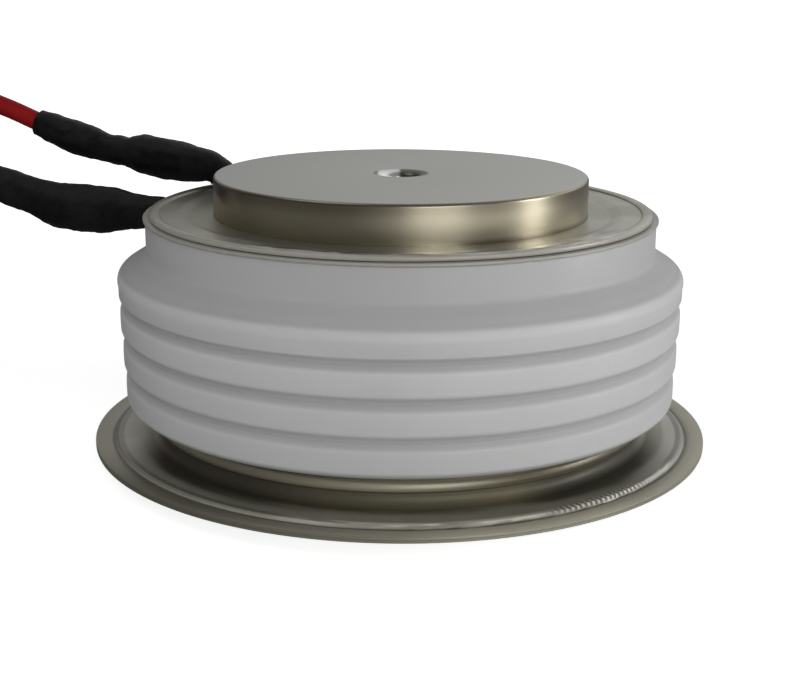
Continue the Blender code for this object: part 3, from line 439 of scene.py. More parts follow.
def sheet_metal():
    """Thin plated flange sheet: dull and brushed, browned by the brazing heat near the ceramic and with painted shade
    there, darkest at the left and the right.

    Low down it has the cold weld: its ridge with a broken painted highlight in front and painted shade elsewhere, its
    ticks, a painted shade line along its groove, and painted shade and light across the rim. High up it has the
    speckled braze.
    """
    look, tree, shader = new_material("nickel plated sheet", Metallic=1.0)
    radius, angle, height, across, flow = shared(tree, "round the axis")
    tones = mottled(tree, (0.47, 0.46, 0.40), (0.37, 0.355, 0.285), 110.0)
    low = between(tree, height, CERAMIC_Z + 0.0010, CERAMIC_Z)
    high = between(tree, height, FLANGE_Z - 0.001, FLANGE_Z)

    # The moat, browned by the brazing heat and with painted shade, the bead above it with painted shade at its sides,
    # and the rim round it
    margin = product(tree, (radius, GROOVE_RADIUS - 0.0001, GROOVE_RADIUS + 0.0003), low)
    patch = noise(tree, 420.0, 3.0, 0.55, flow)
    # painted shade: darker and spread wider towards the left and the right
    left_shade = between(tree, across, -0.001, -0.015, 0.0, 0.85)
    side_shade = maths(tree, "ADD", left_shade, between(tree, across, 0.009, 0.015, 0.0, 0.85))
    spread = raised(tree, side_shade, -0.0012, raised(tree, patch, 0.0030, radius))
    stain_and_shade = mixed(tree, between(tree, patch, 0.40, 0.62), (0.13, 0.12, 0.070), (0.18, 0.14, 0.08))
    stain_and_shade = mixed(tree, side_shade, stain_and_shade, (0.025, 0.025, 0.017))
    aside = maths(tree, "ABSOLUTE", across)
    bead = maths(tree, "ABSOLUTE", maths(tree, "SUBTRACT", height, COLLAR_BEAD_Z + 0.00015))
    tint_and_shade = product(tree, (spread, 0.0288, 0.0268), low, (aside, 0.0265, 0.0225), (bead, 0.00030, 0.00055))
    # painted shade: the bead's crown darker towards the left and much darker towards the right
    bead_shade_left = between(tree, across, 0.001, -0.016, 0.0, 0.7)
    bead_shade = maths(tree, "ADD", bead_shade_left, between(tree, across, 0.0, 0.012, 0.0, 0.97))
    crown_tone = mixed(tree, bead_shade, (0.50, 0.46, 0.34), (0.14, 0.12, 0.08))
    inside = (radius, GROOVE_RADIUS, GROOVE_RADIUS - 0.0004)
    rim = product(tree, (radius, GROOVE_RADIUS, GROOVE_RADIUS + 0.0003), low)

    # The weld's ridge beside its groove: a broken painted highlight in front, ticked at the right, painted shade
    # elsewhere
    ridge_start = (radius, GROOVE_RADIUS - 0.0011, GROOVE_RADIUS - 0.0009)
    ridge = product(tree, ridge_start, (radius, GROOVE_RADIUS - 0.00015, GROOVE_RADIUS - 0.0003), low)
    broken = between(tree, noise(tree, 900.0, 2.0, 0.6, flow), 0.36, 0.54)
    front = product(tree, ridge, (angle, -2.0, -1.75), (angle, -1.0, -1.2), broken)
    ridge_shade_share = maths(tree, "SUBTRACT", 1.0, product(tree, (angle, -2.05, -1.80), (angle, -0.40, -0.55)))
    sector = product(tree, ridge, (angle, -1.15, -1.0), (angle, -0.60, -0.80))
    ticks = maths(tree, "SINE", product(tree, angle, 300.0))
    tick_tone = mixed(tree, between(tree, ticks, -0.3, 0.5), (0.12, 0.115, 0.09), (0.78, 0.76, 0.68))
    groove_offset = maths(tree, "ABSOLUTE", maths(tree, "SUBTRACT", radius, GROOVE_RADIUS))

    # The braze on the top flange and the wall of its rim
    flux = noise(tree, 800.0, 3.0, 0.6, flow)
    braze = product(tree, (radius, 0.0214, 0.0232), (radius, 0.0249, 0.0245))
    braze = product(tree, braze, high, (angle, -0.45, -0.75), (angle, -2.4, -1.9))
    speckle = mixed(tree, between(tree, flux, 0.40, 0.60), (0.20, 0.18, 0.15), (0.74, 0.72, 0.66))
    wall = product(tree, (radius, CATHODE_RIM_RADIUS - 0.00016, CATHODE_RIM_RADIUS - 0.00004), high)

    colour = painted(
        tree,
        tones["Tone"],
        ((0.44, 0.42, 0.335), margin),
        # browning from the brazing heat, with painted shade, over the collar and the moat
        (stain_and_shade, tint_and_shade, 0.93),
        (crown_tone, (bead, 0.00055, 0.00020), (radius, 0.0272, 0.0266)),
        # painted light: the moat paler towards the right
        ((0.72, 0.70, 0.64), (across, 0.0195, 0.0245, 0.0, 0.6), low, (radius, 0.0268, 0.0276), inside),
        # painted shade: the rim darker at the left
        ((0.14, 0.13, 0.095), rim, (angle, -1.5, -2.35, 0.0, 0.8), (angle, -2.85, -2.45)),
        # painted light: the rim paler at the front right
        ((0.72, 0.69, 0.56), rim, (angle, -1.6, -1.35, 0.0, 0.6), (angle, -0.75, -1.0)),
        # painted highlight: the ridge pale and broken in front
        ((0.66, 0.64, 0.55), front),
        # painted shade: the ridge dark away from the front
        ((0.17, 0.165, 0.13), ridge, ridge_shade_share, 0.65),
        (tick_tone, sector, 0.85),
        # painted shade: a dark line along the weld's groove
        ((0.06, 0.058, 0.045), (groove_offset, 0.00022, 0.00008), low, 0.75),
        # painted shade: the rim's outer edge darker
        ((0.17, 0.16, 0.12), (radius, RIM_RADIUS - 0.00008, RIM_RADIUS - 0.00002), 0.6),
        (speckle, braze, 0.75),
        ((0.46, 0.45, 0.41), wall, 0.7),
    )
    dull = raised(tree, maths(tree, "ADD", front, sector), 0.40, raised(tree, low, 0.45, 0.12))
    dull = raised(tree, wall, 0.75, dull)
    tree.links.new(maths(tree, "SUBTRACT", 1.0, dull), shader.inputs["Metallic"])
    roughness = raised(tree, tint_and_shade, 0.15, raised(tree, tones["Cloud"], 0.08, 0.30))
    roughness = raised(tree, margin, 0.10, roughness)
    turning = shared(tree, "rings round the axis", {"Rings": 5000.0})
    relief = raised(tree, product(tree, ticks, sector), 2.0, product(tree, turning["Height"], 1.5))
    relief = raised(tree, product(tree, braze, flux), 3.0, relief)
    connect(tree, shader, colour, roughness, relief, 0.000012)
    return look


def glazed_ceramic():
    """White glazed alumina: a soft even body with painted shade in the grooves, on the neck and towards the bottom,
    slight ripples in the glaze and a little grime.
    """
    look, tree, shader = new_material(
        "glazed alumina",
        Coat_Weight=0.06,
        Coat_Roughness=0.25,
        IOR=1.45,
        Subsurface_Weight=0.25,
        Subsurface_Radius=(0.0012, 0.0012, 0.0012),
        Subsurface_Scale=1.0,
    )
    _, _, height, _, flow = shared(tree, "round the axis")
    tones = mottled(tree, (0.66, 0.66, 0.665), (0.63, 0.63, 0.63), 70.0, 0.1)
    turns = product(tree, maths(tree, "SUBTRACT", height, CERAMIC_Z), 2.0 * math.pi / SHED_PITCH)
    below_neck = between(tree, height, SHED_TOP_Z + 0.0004, SHED_TOP_Z - 0.0006)
    colour = painted(
        tree,
        tones["Tone"],
        ((0.33, 0.32, 0.30), (noise(tree, 350.0, 4.0, 0.6, flow), 0.55, 0.8), 0.12),
        # painted shade: dark bands along the grooves below the neck
        ((0.36, 0.36, 0.36), (maths(tree, "COSINE", turns), 0.15, 0.85), below_neck, 0.5),
        # painted shade: darker towards the bottom
        ((0.50, 0.50, 0.50), (height, CERAMIC_Z + 0.011, CERAMIC_Z, 0.0, 0.5)),
        # painted shade: the neck darker
        ((0.42, 0.42, 0.425), maths(tree, "SUBTRACT", 1.0, below_neck), 0.6),
    )
    roughness = raised(tree, tones["Cloud"], 0.1, 0.48)
    connect(tree, shader, colour, roughness, noise(tree, 420.0, 2.0, 0.5), 0.00004)
    return look


def plain_skin(name, tone, other, rough, rough_other, grain=2500.0, depth=0.00002, **values):
    """A non-metal surface with its own grain."""
    look, tree, shader = new_material(name, **values)
    tones = mottled(tree, tone, other, 200.0, 0.3)
    roughness = raised(tree, tones["Cloud"], rough_other - rough, rough)
    connect(tree, shader, tones["Tone"], roughness, noise(tree, grain, 3.0, 0.6), depth)
    return look


def heat_shrink():
    """Black heat-shrink sleeve: satin, with the faint ridges that shrinking leaves."""
    look, tree, shader = new_material("black heat shrink", Specular_IOR_Level=0.22)
    tones = mottled(tree, (0.003, 0.003, 0.003), (0.010, 0.011, 0.011), 260.0)
    dust = (noise(tree, 3200.0, 2.0, 0.7), 0.62, 0.78)
    colour = painted(tree, tones["Tone"], ((0.04, 0.04, 0.038), dust, 0.15))
    roughness = raised(tree, tones["Cloud"], 0.14, 0.40)
    connect(tree, shader, colour, roughness, noise(tree, 900.0, 3.0, 0.55), 0.00009)
    return look


PLATED = {
    "nickel_plate": ((0.485, 0.44, 0.33), (0.46, 0.415, 0.308), 0.275, 0.285, 7000.0, (0.50, 0.50, 0.475), 0.0),
    "molybdenum": ((0.40, 0.41, 0.43), (0.33, 0.34, 0.36), 0.34, 0.46, 12000.0),
    "silicon": ((0.17, 0.18, 0.21), (0.14, 0.15, 0.19), 0.08, 0.14, 0.0, None, 0.15),
    "spring_steel": ((0.38, 0.38, 0.38), (0.30, 0.29, 0.28), 0.26, 0.38),
    "tinned_copper": ((0.62, 0.59, 0.54), (0.48, 0.44, 0.39), 0.28, 0.42),
}
SKINS = {
    "silicone_seal": ((0.58, 0.53, 0.43), (0.50, 0.44, 0.34), 0.42, 0.60, 900.0, 0.00005),
    "white_insulator": ((0.74, 0.73, 0.69), (0.68, 0.66, 0.61), 0.42, 0.55),
    "white_wire_insulation": ((0.66, 0.65, 0.62), (0.60, 0.59, 0.55), 0.40, 0.50, 2500.0, 0.00001),
    "nylon_tie": ((0.62, 0.61, 0.57), (0.56, 0.55, 0.50), 0.34, 0.46),
}
RED_SKIN = ((0.30, 0.006, 0.007), (0.24, 0.005, 0.006), 0.45, 0.55, 2500.0, 0.00001)
LOOKS = {
    "nickel_plated_sheet": sheet_metal(),
    "glazed_alumina": glazed_ceramic(),
    "black_heat_shrink": heat_shrink(),
    "red_wire_insulation": plain_skin("red wire insulation", *RED_SKIN, Specular_IOR_Level=0.15),
}
LOOKS.update({slot: plated_metal(slot.replace("_", " "), *values) for slot, values in PLATED.items()})
LOOKS.update({slot: plain_skin(slot.replace("_", " "), *values) for slot, values in SKINS.items()})


# Modelling helpers


def activate(*pieces):
    """Selects some pieces alone and makes the first the active one."""
    bpy.ops.object.select_all(action="DESELECT")
    for piece in pieces:
        piece.select_set(True)
    bpy.context.view_layer.objects.active = pieces[0]


def edit(piece):
    """Opens one piece in edit mode with all of it selected."""
    activate(piece)
    bpy.ops.object.mode_set(mode="EDIT")
    bpy.ops.mesh.select_all(action="SELECT")


def close_edit():
    bpy.ops.object.mode_set(mode="OBJECT")


def settle(piece):
    """Puts a piece's place, turn and size into its mesh."""
    activate(piece)
    bpy.ops.object.transform_apply(location=True, rotation=True, scale=True)


def face_outwards():
    """Turns all the faces outwards, in edit mode."""
    bpy.ops.mesh.select_all(action="SELECT")
    bpy.ops.mesh.normals_make_consistent(inside=False)


def extrude(way):
    """Draws the selected faces out, in edit mode."""
    bpy.ops.mesh.extrude_region_move(TRANSFORM_OT_translate={"value": way})


def resize(value, centre):
    """Sizes what is selected about a point, in edit mode."""
    bpy.ops.transform.resize(value=value, center_override=centre)


def block(place, size):
    """A box of a given size."""
    bpy.ops.mesh.primitive_cube_add(size=1.0, location=place)
    piece = bpy.context.object
    piece.scale = size
    settle(piece)
    return piece


def weld(piece):
    """Merges doubled points and turns the faces outwards."""
    edit(piece)
    bpy.ops.mesh.remove_doubles(threshold=1e-7)
    face_outwards()
    close_edit()


def pick(piece, test, kind):
    """Selects the points or the faces whose middle passes a test, in edit mode."""
    bpy.ops.mesh.select_mode(type=kind)
    bpy.ops.mesh.select_all(action="DESELECT")
    bm = bmesh.from_edit_mesh(piece.data)
    if kind == "VERT":
        for point in bm.verts:
            point.select = test(point.co)
    else:
        for face in bm.faces:
            face.select = test(face.calc_center_median())
    bm.select_flush_mode()
    bmesh.update_edit_mesh(piece.data)


def ruffle(piece, test, offset, seed):
    """Moves the points that pass a test a little at random, as a weld or a braze is left."""
    edit(piece)
    pick(piece, test, "VERT")
    bpy.ops.transform.vertex_random(offset=offset, uniform=1.0, normal=0.0, seed=seed)
    close_edit()


def add_modifier(piece, name, kind, **settings):
    """Adds a modifier with its settings."""
    modifier = piece.modifiers.new(name, kind)
    for label, value in settings.items():
        setattr(modifier, label, value)


def apply_modifiers(piece):
    """Applies a piece's modifiers in turn."""
    activate(piece)
    for modifier in list(piece.modifiers):
        bpy.ops.object.modifier_apply(modifier=modifier.name)


def finished(piece, slot, node, angle=32.0):
    """Shades, names the finish of and mounts a piece, and hides the CAD node that it stands for."""
    activate(piece)
    bpy.ops.object.shade_smooth_by_angle(angle=math.radians(angle))
    piece.data.name = piece.name
    piece.data.materials.clear()
    piece.data.materials.append(LOOKS[slot])
    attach(piece, "root")
    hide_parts(node)
    return piece


def arc(centre, radius, start, end, steps):
    """Points of an arc in the outline's plane, angles in degrees from the +r direction."""
    points = []
    for step in range(steps + 1):
        angle = math.radians(start + (end - start) * step / steps)
        points.append((centre[0] + radius * math.cos(angle), centre[1] + radius * math.sin(angle)))
    return points


def turned(name, outline, closed=True):
    """Raises a wall from a circle, ring by ring, through an outline of (radius, height) points."""
    radius, height = outline[0]
    fill = "NOTHING" if closed else "TRIFAN"
    bpy.ops.mesh.primitive_circle_add(vertices=CASE_STEPS, radius=radius, fill_type=fill, location=(0.0, 0.0, height))
    piece = bpy.context.object
    piece.name = name
    edit(piece)
    if not closed:
        bpy.ops.mesh.region_to_loop()
    rings = outline[1:] + ([outline[0]] if closed else [])
    for next_radius, next_height in rings:
        extrude((0.0, 0.0, next_height - height))
        grow = next_radius / radius
        resize((grow, grow, 1.0), (0.0, 0.0, next_height))
        radius, height = next_radius, next_height
    if not closed:
        bpy.ops.mesh.merge(type="CENTER")
    close_edit()
    settle(piece)
    weld(piece)
    return piece


def cut_away(piece, cutter):
    """Takes a cutter's shape out of a piece and removes the cutter."""
    add_modifier(piece, "cut", "BOOLEAN", operation="DIFFERENCE", solver="EXACT", object=cutter)
    apply_modifiers(piece)
    bpy.data.objects.remove(cutter)


# Case


def locating_hole(face_z, inward):
    """Outline of the centre hole in a contact face, from its floor's edge out over its rounded mouth."""
    outline = [
        (LOCATING_RADIUS * 0.9, face_z + inward * LOCATING_DEPTH),
        (LOCATING_RADIUS, face_z + inward * (LOCATING_DEPTH - 0.0001)),
    ]
    for step in range(9):
        angle = math.radians(90.0 * step / 8)
        out = LOCATING_RADIUS + MOUTH_WIDTH * (1.0 - math.cos(angle))
        outline.append((out, face_z + inward * MOUTH_DEPTH * (1.0 - math.sin(angle))))
    return outline


def contact_edge(face_z, inward):
    """The rounded outer edge of a contact face."""
    centre = (CONTACT_RADIUS - CONTACT_EDGE, face_z + inward * CONTACT_EDGE)
    return arc(centre, CONTACT_EDGE, -90 * inward, 0, 6)


def build_poles():
    """The two copper pole pieces, plated all over."""
    shoulder_z = RIM_Z + SHEET + SEAT
    outline = locating_hole(0.0, 1) + contact_edge(0.0, 1)
    outline += [
        (CONTACT_RADIUS, shoulder_z),
        (SHOULDER_RADIUS, shoulder_z),
        (SHOULDER_RADIUS, ANODE_POLE_HEIGHT),
        (0.001, ANODE_POLE_HEIGHT),
    ]
    finished(turned("anode_pole_piece", outline, closed=False), "nickel_plate", "anode_pole")
    foot_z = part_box("cathode_pole")[0].z
    outline = locating_hole(TOP_Z, -1) + contact_edge(TOP_Z, -1)
    outline += [
        (CONTACT_RADIUS, MOAT_Z - SEAT),
        (SHOULDER_RADIUS, MOAT_Z - SEAT),
        (SHOULDER_RADIUS, foot_z),
        (WELL_RADIUS, foot_z),
        (WELL_RADIUS, foot_z + WELL_DEPTH),
        (0.001, foot_z + WELL_DEPTH),
    ]
    pole = turned("cathode_pole_piece", outline, closed=False)
    cutter = block(Vector(WIRE_SLOT_PLACE) + Vector((0.0, 0.0, foot_z)), WIRE_SLOT_SIZE)
    cutter.rotation_euler.z = GATE_DIRECTION
    settle(cutter)
    cut_away(pole, cutter)
    finished(pole, "nickel_plate", "cathode_pole")


def shed_reach(place):
    """How far the crest of a shed stands out from the neck, the lowest shed being 0."""
    return SHED_REACH_BOTTOM + (SHED_REACH_TOP - SHED_REACH_BOTTOM) * place / (SHED_COUNT - 1)


def shed_drop(share):
    """How far a shed lies inside its crest, at a share of the way from one groove up to the next."""
    away = min(1.0, min(share, 1.0 - share) / GROOVE_HALF)
    groove = 0.5 + 0.5 * math.cos(math.pi * away)
    return GROOVE_DEPTH * (groove + CROWN_SHARE * (2.0 * share - 1.0) ** 2)


def build_ceramic():
    """Glazed ring with shallow rounded sheds, a flared top shed and a plain neck."""
    outline = [(BORE_RADIUS, CERAMIC_Z), (NECK_RADIUS + FOOT_CHAMFER, CERAMIC_Z)]
    for place in range(SHED_COUNT - 1):
        crest = NECK_RADIUS + shed_reach(place)
        groove_z = CERAMIC_Z + place * SHED_PITCH
        first = 0.0 if place else FIRST_SHARE
        for step in range(CREST_STEPS):
            share = first + (1.0 - first) * step / CREST_STEPS
            outline.append((crest - shed_drop(share), groove_z + SHED_PITCH * share))
    last_groove_z = CERAMIC_Z + (SHED_COUNT - 1) * SHED_PITCH
    crest = NECK_RADIUS + shed_reach(SHED_COUNT - 1)
    for step in range(6):
        share = LAST_CREST_SHARE * step
        outline.append((crest - shed_drop(share), last_groove_z + share * SHED_PITCH))
    outline += arc((crest - NOSE_RADIUS, last_groove_z + NOSE_LIFT), NOSE_RADIUS, -20, 58, 12)
    outline += arc((NECK_RADIUS + NECK_FILLET, SHED_TOP_Z + HOLLOW_RISE * NECK_FILLET), NECK_FILLET, 235, 180, 8)
    outline += [
        (NECK_RADIUS, CERAMIC_TOP_Z - NECK_CHAMFER),
        (NECK_RADIUS - 0.3 * NECK_CHAMFER, CERAMIC_TOP_Z - 0.3 * NECK_CHAMFER),
        (NECK_RADIUS - NECK_CHAMFER, CERAMIC_TOP_Z),
        (BORE_RADIUS, CERAMIC_TOP_Z),
    ]
    ring = turned("ceramic_case_ring", outline)
    middle = 0.5 * (BORE_RADIUS + NECK_RADIUS)
    bpy.ops.mesh.primitive_cylinder_add(
        vertices=SMALL_STEPS,
        radius=GATE_TUBE_RADIUS + SEAT,
        depth=0.012,
        location=(LEAD_WAY.x * middle, LEAD_WAY.y * middle, GATE_Z),
        rotation=(0.0, math.radians(90.0), GATE_DIRECTION),
    )
    cutter = bpy.context.object
    settle(cutter)
    cut_away(ring, cutter)
    finished(ring, "glazed_alumina", "ceramic_ring", 50.0)


def build_cathode_flange():
    """Formed sheet round the cathode pole: a sunk moat, a flat and a rounded rim bead. Below it, the weld washer."""
    middle = CATHODE_RIM_RADIUS - 0.5 * BEAD_WIDTH
    fold = CATHODE_RIM_RADIUS - BEAD_WIDTH
    outline = [
        (CONTACT_RADIUS + SEAT, MOAT_Z + SHEET),
        (MOAT_EDGE - 0.0002, MOAT_Z + SHEET),
        (MOAT_EDGE, MOAT_Z + SHEET + 0.00002),
        (FLAT_START - 0.0001, FLANGE_TOP_Z - 0.00001),
        (FLAT_START + 0.0001, FLANGE_TOP_Z),
        (fold, FLANGE_TOP_Z),
    ]
    for step in range(1, 13):
        angle = math.radians(168.0 - 168.0 * step / 12)
        out = middle + 0.5 * BEAD_WIDTH * math.cos(angle)
        outline.append((out, FLANGE_TOP_Z + BEAD_HEIGHT * math.sin(angle) ** 0.8))
    outline += [
        (CATHODE_RIM_RADIUS, FLANGE_Z + 0.00004),
        (CATHODE_RIM_RADIUS - 0.00005, FLANGE_Z),
        (CATHODE_RIM_RADIUS - SHEET, FLANGE_Z),
        (CATHODE_RIM_RADIUS - SHEET, FLANGE_TOP_Z + 0.6 * BEAD_HEIGHT - SHEET * 0.5),
        (middle, FLANGE_TOP_Z + BEAD_HEIGHT - SHEET),
        (fold + 0.8 * SHEET, FLANGE_Z),
        (FLAT_START, FLANGE_Z),
        (MOAT_EDGE, MOAT_Z),
        (CONTACT_RADIUS + SEAT, MOAT_Z),
    ]
    flange = turned("cathode_flange_sheet", outline)

    def on_front_bead(point):
        on_bead = fold < math.hypot(point.x, point.y) < CATHODE_RIM_RADIUS - 0.0002 and point.z > FLANGE_TOP_Z
        return on_bead and point.y < -0.016 and point.x > -0.012

    ruffle(flange, on_front_bead, 0.00005, seed=5)
    finished(flange, "nickel_plated_sheet", "cathode_flange", 60.0)
    top = UPPER_RING_Z + UPPER_RING_THICKNESS
    outline = [
        (FLAT_START, UPPER_RING_Z),
        (UPPER_RING_RADIUS - UPPER_RING_EDGE, UPPER_RING_Z),
        (UPPER_RING_RADIUS, UPPER_RING_Z + UPPER_RING_EDGE),
        (UPPER_RING_RADIUS, top - UPPER_RING_EDGE),
        (UPPER_RING_RADIUS - UPPER_RING_EDGE, top),
        (FLAT_START, top),
    ]
    finished(turned("upper_weld_washer", outline), "nickel_plated_sheet", "upper_weld_ring")


def build_foot():
    """The anode flange and, cold welded to its rim, the formed sheet that holds the ceramic."""
    outline = [
        (CONTACT_RADIUS + SEAT, RIM_Z),
        (RIM_RADIUS - RIM_EDGE, RIM_Z),
        (RIM_RADIUS - 0.3 * RIM_EDGE, RIM_Z + 0.3 * RIM_EDGE),
        (RIM_RADIUS, RIM_Z + RIM_EDGE),
        (RIM_RADIUS, RIM_Z + SHEET),
        (CONTACT_RADIUS + SEAT, RIM_Z + SHEET),
    ]
    finished(turned("anode_flange_sheet", outline), "nickel_plated_sheet", "anode_flange")
    lip_top = CERAMIC_Z - SEAT
    floor_top = WELD_FLOOR_Z + SHEET
    weld_top = WELD_RING_Z + SHEET
    outline = [(BORE_RADIUS + SHEET, lip_top), (COLLAR_RADIUS, lip_top)]
    for step in range(13):
        angle = math.radians(90.0 - 15.0 * step)
        inner = COLLAR_RADIUS if step <= 6 else COLLAR_RADIUS + (WAIST_RADIUS - COLLAR_RADIUS) * (step - 6) / 6
        outline.append(
            (inner + COLLAR_BEAD_REACH * math.cos(angle), COLLAR_BEAD_Z + COLLAR_BEAD_HALF * math.sin(angle))
        )
    outline += arc((WAIST_RADIUS + WELD_FILLET, floor_top + WELD_FILLET), WELD_FILLET, 180, 270, 10)
    groove = [
        (-2.2, floor_top),
        (-1.9, floor_top + 0.00002),
        (-1.5, floor_top + 0.00004),
        (-1.2, floor_top + 0.00003),
        (-0.9, floor_top - 0.00002),
        (-0.4, WELD_RING_Z + 0.66 * SHEET),
        (0.0, WELD_RING_Z + 0.6 * SHEET),
        (0.5, WELD_RING_Z + 0.75 * SHEET),
        (1.0, weld_top - 0.00001),
        (1.5, weld_top),
    ]
    outline += [(GROOVE_RADIUS + share * WELD_GROOVE, height) for share, height in groove]
    outline += [
        (RIM_RADIUS - RIM_EDGE, weld_top),
        (RIM_RADIUS - 0.3 * RIM_EDGE, weld_top - 0.3 * RIM_EDGE),
        (RIM_RADIUS, weld_top - RIM_EDGE),
        (RIM_RADIUS, WELD_RING_Z),
        (GROOVE_RADIUS - WELD_GROOVE, WELD_RING_Z),
        (GROOVE_RADIUS - 2 * WELD_GROOVE, WELD_FLOOR_Z),
        (WAIST_RADIUS + WELD_FILLET - SHEET, WELD_FLOOR_Z),
        (WAIST_RADIUS - SHEET, WELD_FLOOR_Z + WELD_FILLET),
        (WAIST_RADIUS - SHEET, lip_top - SHEET),
        (BORE_RADIUS + SHEET, lip_top - SHEET),
    ]
    ring = turned("lower_weld_sheet", outline)

    def on_right_groove(point):
        away = abs(math.hypot(point.x, point.y) - GROOVE_RADIUS + 0.7 * WELD_GROOVE)
        on_groove = away < 0.9 * WELD_GROOVE and point.z > WELD_RING_Z + 0.5 * SHEET
        return on_groove and point.x > 0.0 and point.y < -0.012

    ruffle(ring, on_right_groove, 0.00006, seed=9)
    finished(ring, "nickel_plated_sheet", "lower_weld_ring", 60.0)


# Leads


def curve_along(name, points, radius, radii=None, caps=True):
    """A round tube on a smooth open spline."""
    data = bpy.data.curves.new(name, "CURVE")
    data.dimensions = "3D"
    data.bevel_depth = radius
    data.bevel_resolution = TUBE_STEPS
    data.resolution_u = 4
    data.use_fill_caps = caps
    spline = data.splines.new("BEZIER")
    spline.bezier_points.add(len(points) - 1)
    for place, point in enumerate(points):
        knot = spline.bezier_points[place]
        knot.co = point
        knot.handle_left_type = "AUTO"
        knot.handle_right_type = "AUTO"
        if radii:
            knot.radius = radii[place] / radius
    piece = bpy.data.objects.new(name, data)
    bpy.context.scene.collection.objects.link(piece)
    return piece


def eased(share):
    """0 to 1 with level ends."""
    share = min(1.0, max(0.0, share))
    return share * share * (3.0 - 2.0 * share)


COIL_MOVES = [
    (-14.0, 55.0, 0, 2), (318.0, 360.0, 1, 2), (640.0, 682.0, 1, 1), (960.0, 1002.0, 0, 1), (1280.0, 1322.0, 0, 0),
    (1600.0, 1642.0, 1, 0),
]
COIL_END = 1890.0
COIL_STEP = 15.0


def coil_points(owner, first_height, first_radius):
    """The turns of a coil, wound in three layers of two, from the arriving lead to the tail."""
    centre = COIL_CENTRES[owner]
    way = COIL_TURN_WAY[owner]

    def slot_place(column, row):
        return COIL_MEAN_RADIUS + (column - 0.5) * COIL_PITCH, COIL_BASE_Z + (row + 0.5) * COIL_PITCH

    points = []
    for step in range(int(COIL_END / COIL_STEP) + 1):
        travelled = step * COIL_STEP
        radius, height = first_radius, first_height
        for start, end, column, row in COIL_MOVES:
            to_radius, to_height = slot_place(column, row)
            share = eased((travelled - start) / (end - start))
            radius += (to_radius - radius) * share
            height += (to_height - height) * share
        share = eased((travelled - COIL_END + TAIL_EASE) / TAIL_EASE)
        radius += (TAIL_RADIUS - radius) * share
        height += (TAIL_HEIGHT - height) * share
        angle = math.radians(way * travelled)
        points.append(centre + Vector((radius * math.cos(angle), radius * math.sin(angle), height)))
    return points


def lead_points(owner):
    """The whole centreline of a lead, from its crimp to its terminal."""
    start = LEAD_STARTS[owner]
    way = LEAD_WAYS[owner]
    points = [start, start + way * 0.0015, start + way * 0.0030]
    points += [Vector(point) for point in LEAD_ROUTES[owner]]
    turns = coil_points(owner, points[-1].z, (points[-1] - COIL_CENTRES[owner]).xy.length)
    way = COIL_TURN_WAY[owner]
    tail_start = turns[-1]
    points += turns[1:]
    for back, aside, up in TAIL_STEPS:
        points.append(tail_start + Vector((-back, way * aside, up)))
    return points


def build_lead(owner, look):
    """One free lead as a single curve, in place of the CAD nodes of the lead, its coil and its tail."""
    points = lead_points(owner)
    lead = curve_along(owner + "_lead_wire", points, LEAD_RADIUS)
    lead.data.materials.append(LOOKS[look])
    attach(lead, "root")
    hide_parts(owner + "_lead", owner + "_lead_coil", owner + "_lead_tail")


def build_sleeve(name, points, radii, node, lump):
    """A heat-shrunk sleeve: a tube along its lead, lumpy outside and open at its ends."""
    piece = curve_along(name, points, max(radii), radii, caps=False)
    piece.data.resolution_u = 8
    activate(piece)
    bpy.ops.object.convert(target="MESH")
    piece = bpy.context.object
    for label, size, strength in (("lumps", 0.0030, lump), ("wrinkles", 0.0009, 0.3 * lump)):
        texture = bpy.data.textures.new(name + "_" + label, "CLOUDS")
        texture.noise_scale = size
        texture.noise_depth = 1
        settings = {"texture": texture, "texture_coords": "LOCAL", "strength": strength, "mid_level": 0.5}
        add_modifier(piece, label, "DISPLACE", **settings)
    add_modifier(piece, "wall", "SOLIDIFY", thickness=0.0004, offset=-1.0)
    apply_modifiers(piece)
    weld(piece)
    return finished(piece, "black_heat_shrink", node, 60.0)


def build_gate_sleeve():
    """The gate lead's sleeve, from its tube in the ceramic to past the crimp."""
    head_start = LEAD_WAY * (NECK_RADIUS + 0.0017)
    head_start.z = GATE_Z
    points = [head_start.lerp(GATE_LEAD_START, step / 5) for step in range(6)]
    points.append(GATE_LEAD_START + LEAD_WAY * 0.0030)
    points += [Vector((-0.0411, 0.0144, 0.0234)), Vector((-0.0452, 0.0151, 0.0247))]
    radii = [0.0016, 0.00175, 0.0020, 0.00235, 0.00255, 0.00262, 0.00262, 0.00205, 0.0019]
    return build_sleeve("gate_shrink_sleeve", points, radii, "gate_sleeve", 0.00055)


def build_cathode_sleeves():
    """The wide sleeve over the tag and its crimp, and the narrower one it shuts on."""
    head = []
    for along, up in ((0.0, 0.0007), (0.0004, 0.0015), (0.0015, 0.0021), (0.0033, 0.0023)):
        head.append(CATHODE_FOOT + LEAD_WAY * along + Vector((0.0, 0.0, up)))
    head += [CATHODE_TAG_END.lerp(CATHODE_LEAD_START, step / 4) for step in range(5)]
    radii = [0.00125, 0.00145, 0.00165, 0.0019, 0.00215, 0.0023, 0.0023, 0.0022, 0.0018]
    large = build_sleeve("cathode_shrink_sleeve_large", head, radii, "cathode_sleeve_large", 0.00045)
    points = [CATHODE_LEAD_START + CRIMP_WAY * along for along in (-0.0008, 0.0012, 0.0030)]
    points += [Vector((-0.0349, 0.0185, 0.0286)), Vector((-0.0369, 0.0190, 0.0292))]
    points += [Vector((-0.0389, 0.0196, 0.0299)), Vector((-0.0409, 0.0201, 0.0307))]
    radii = [0.00165, 0.0016, 0.00155, 0.0018, 0.00195, 0.00175, 0.00145]
    small = build_sleeve("cathode_shrink_sleeve_small", points, radii, "cathode_sleeve_small", 0.0005)
    return [large, small]


def join_pieces(*pieces):
    """Makes several pieces one, under the first one's name."""
    activate(*pieces)
    bpy.ops.object.join()


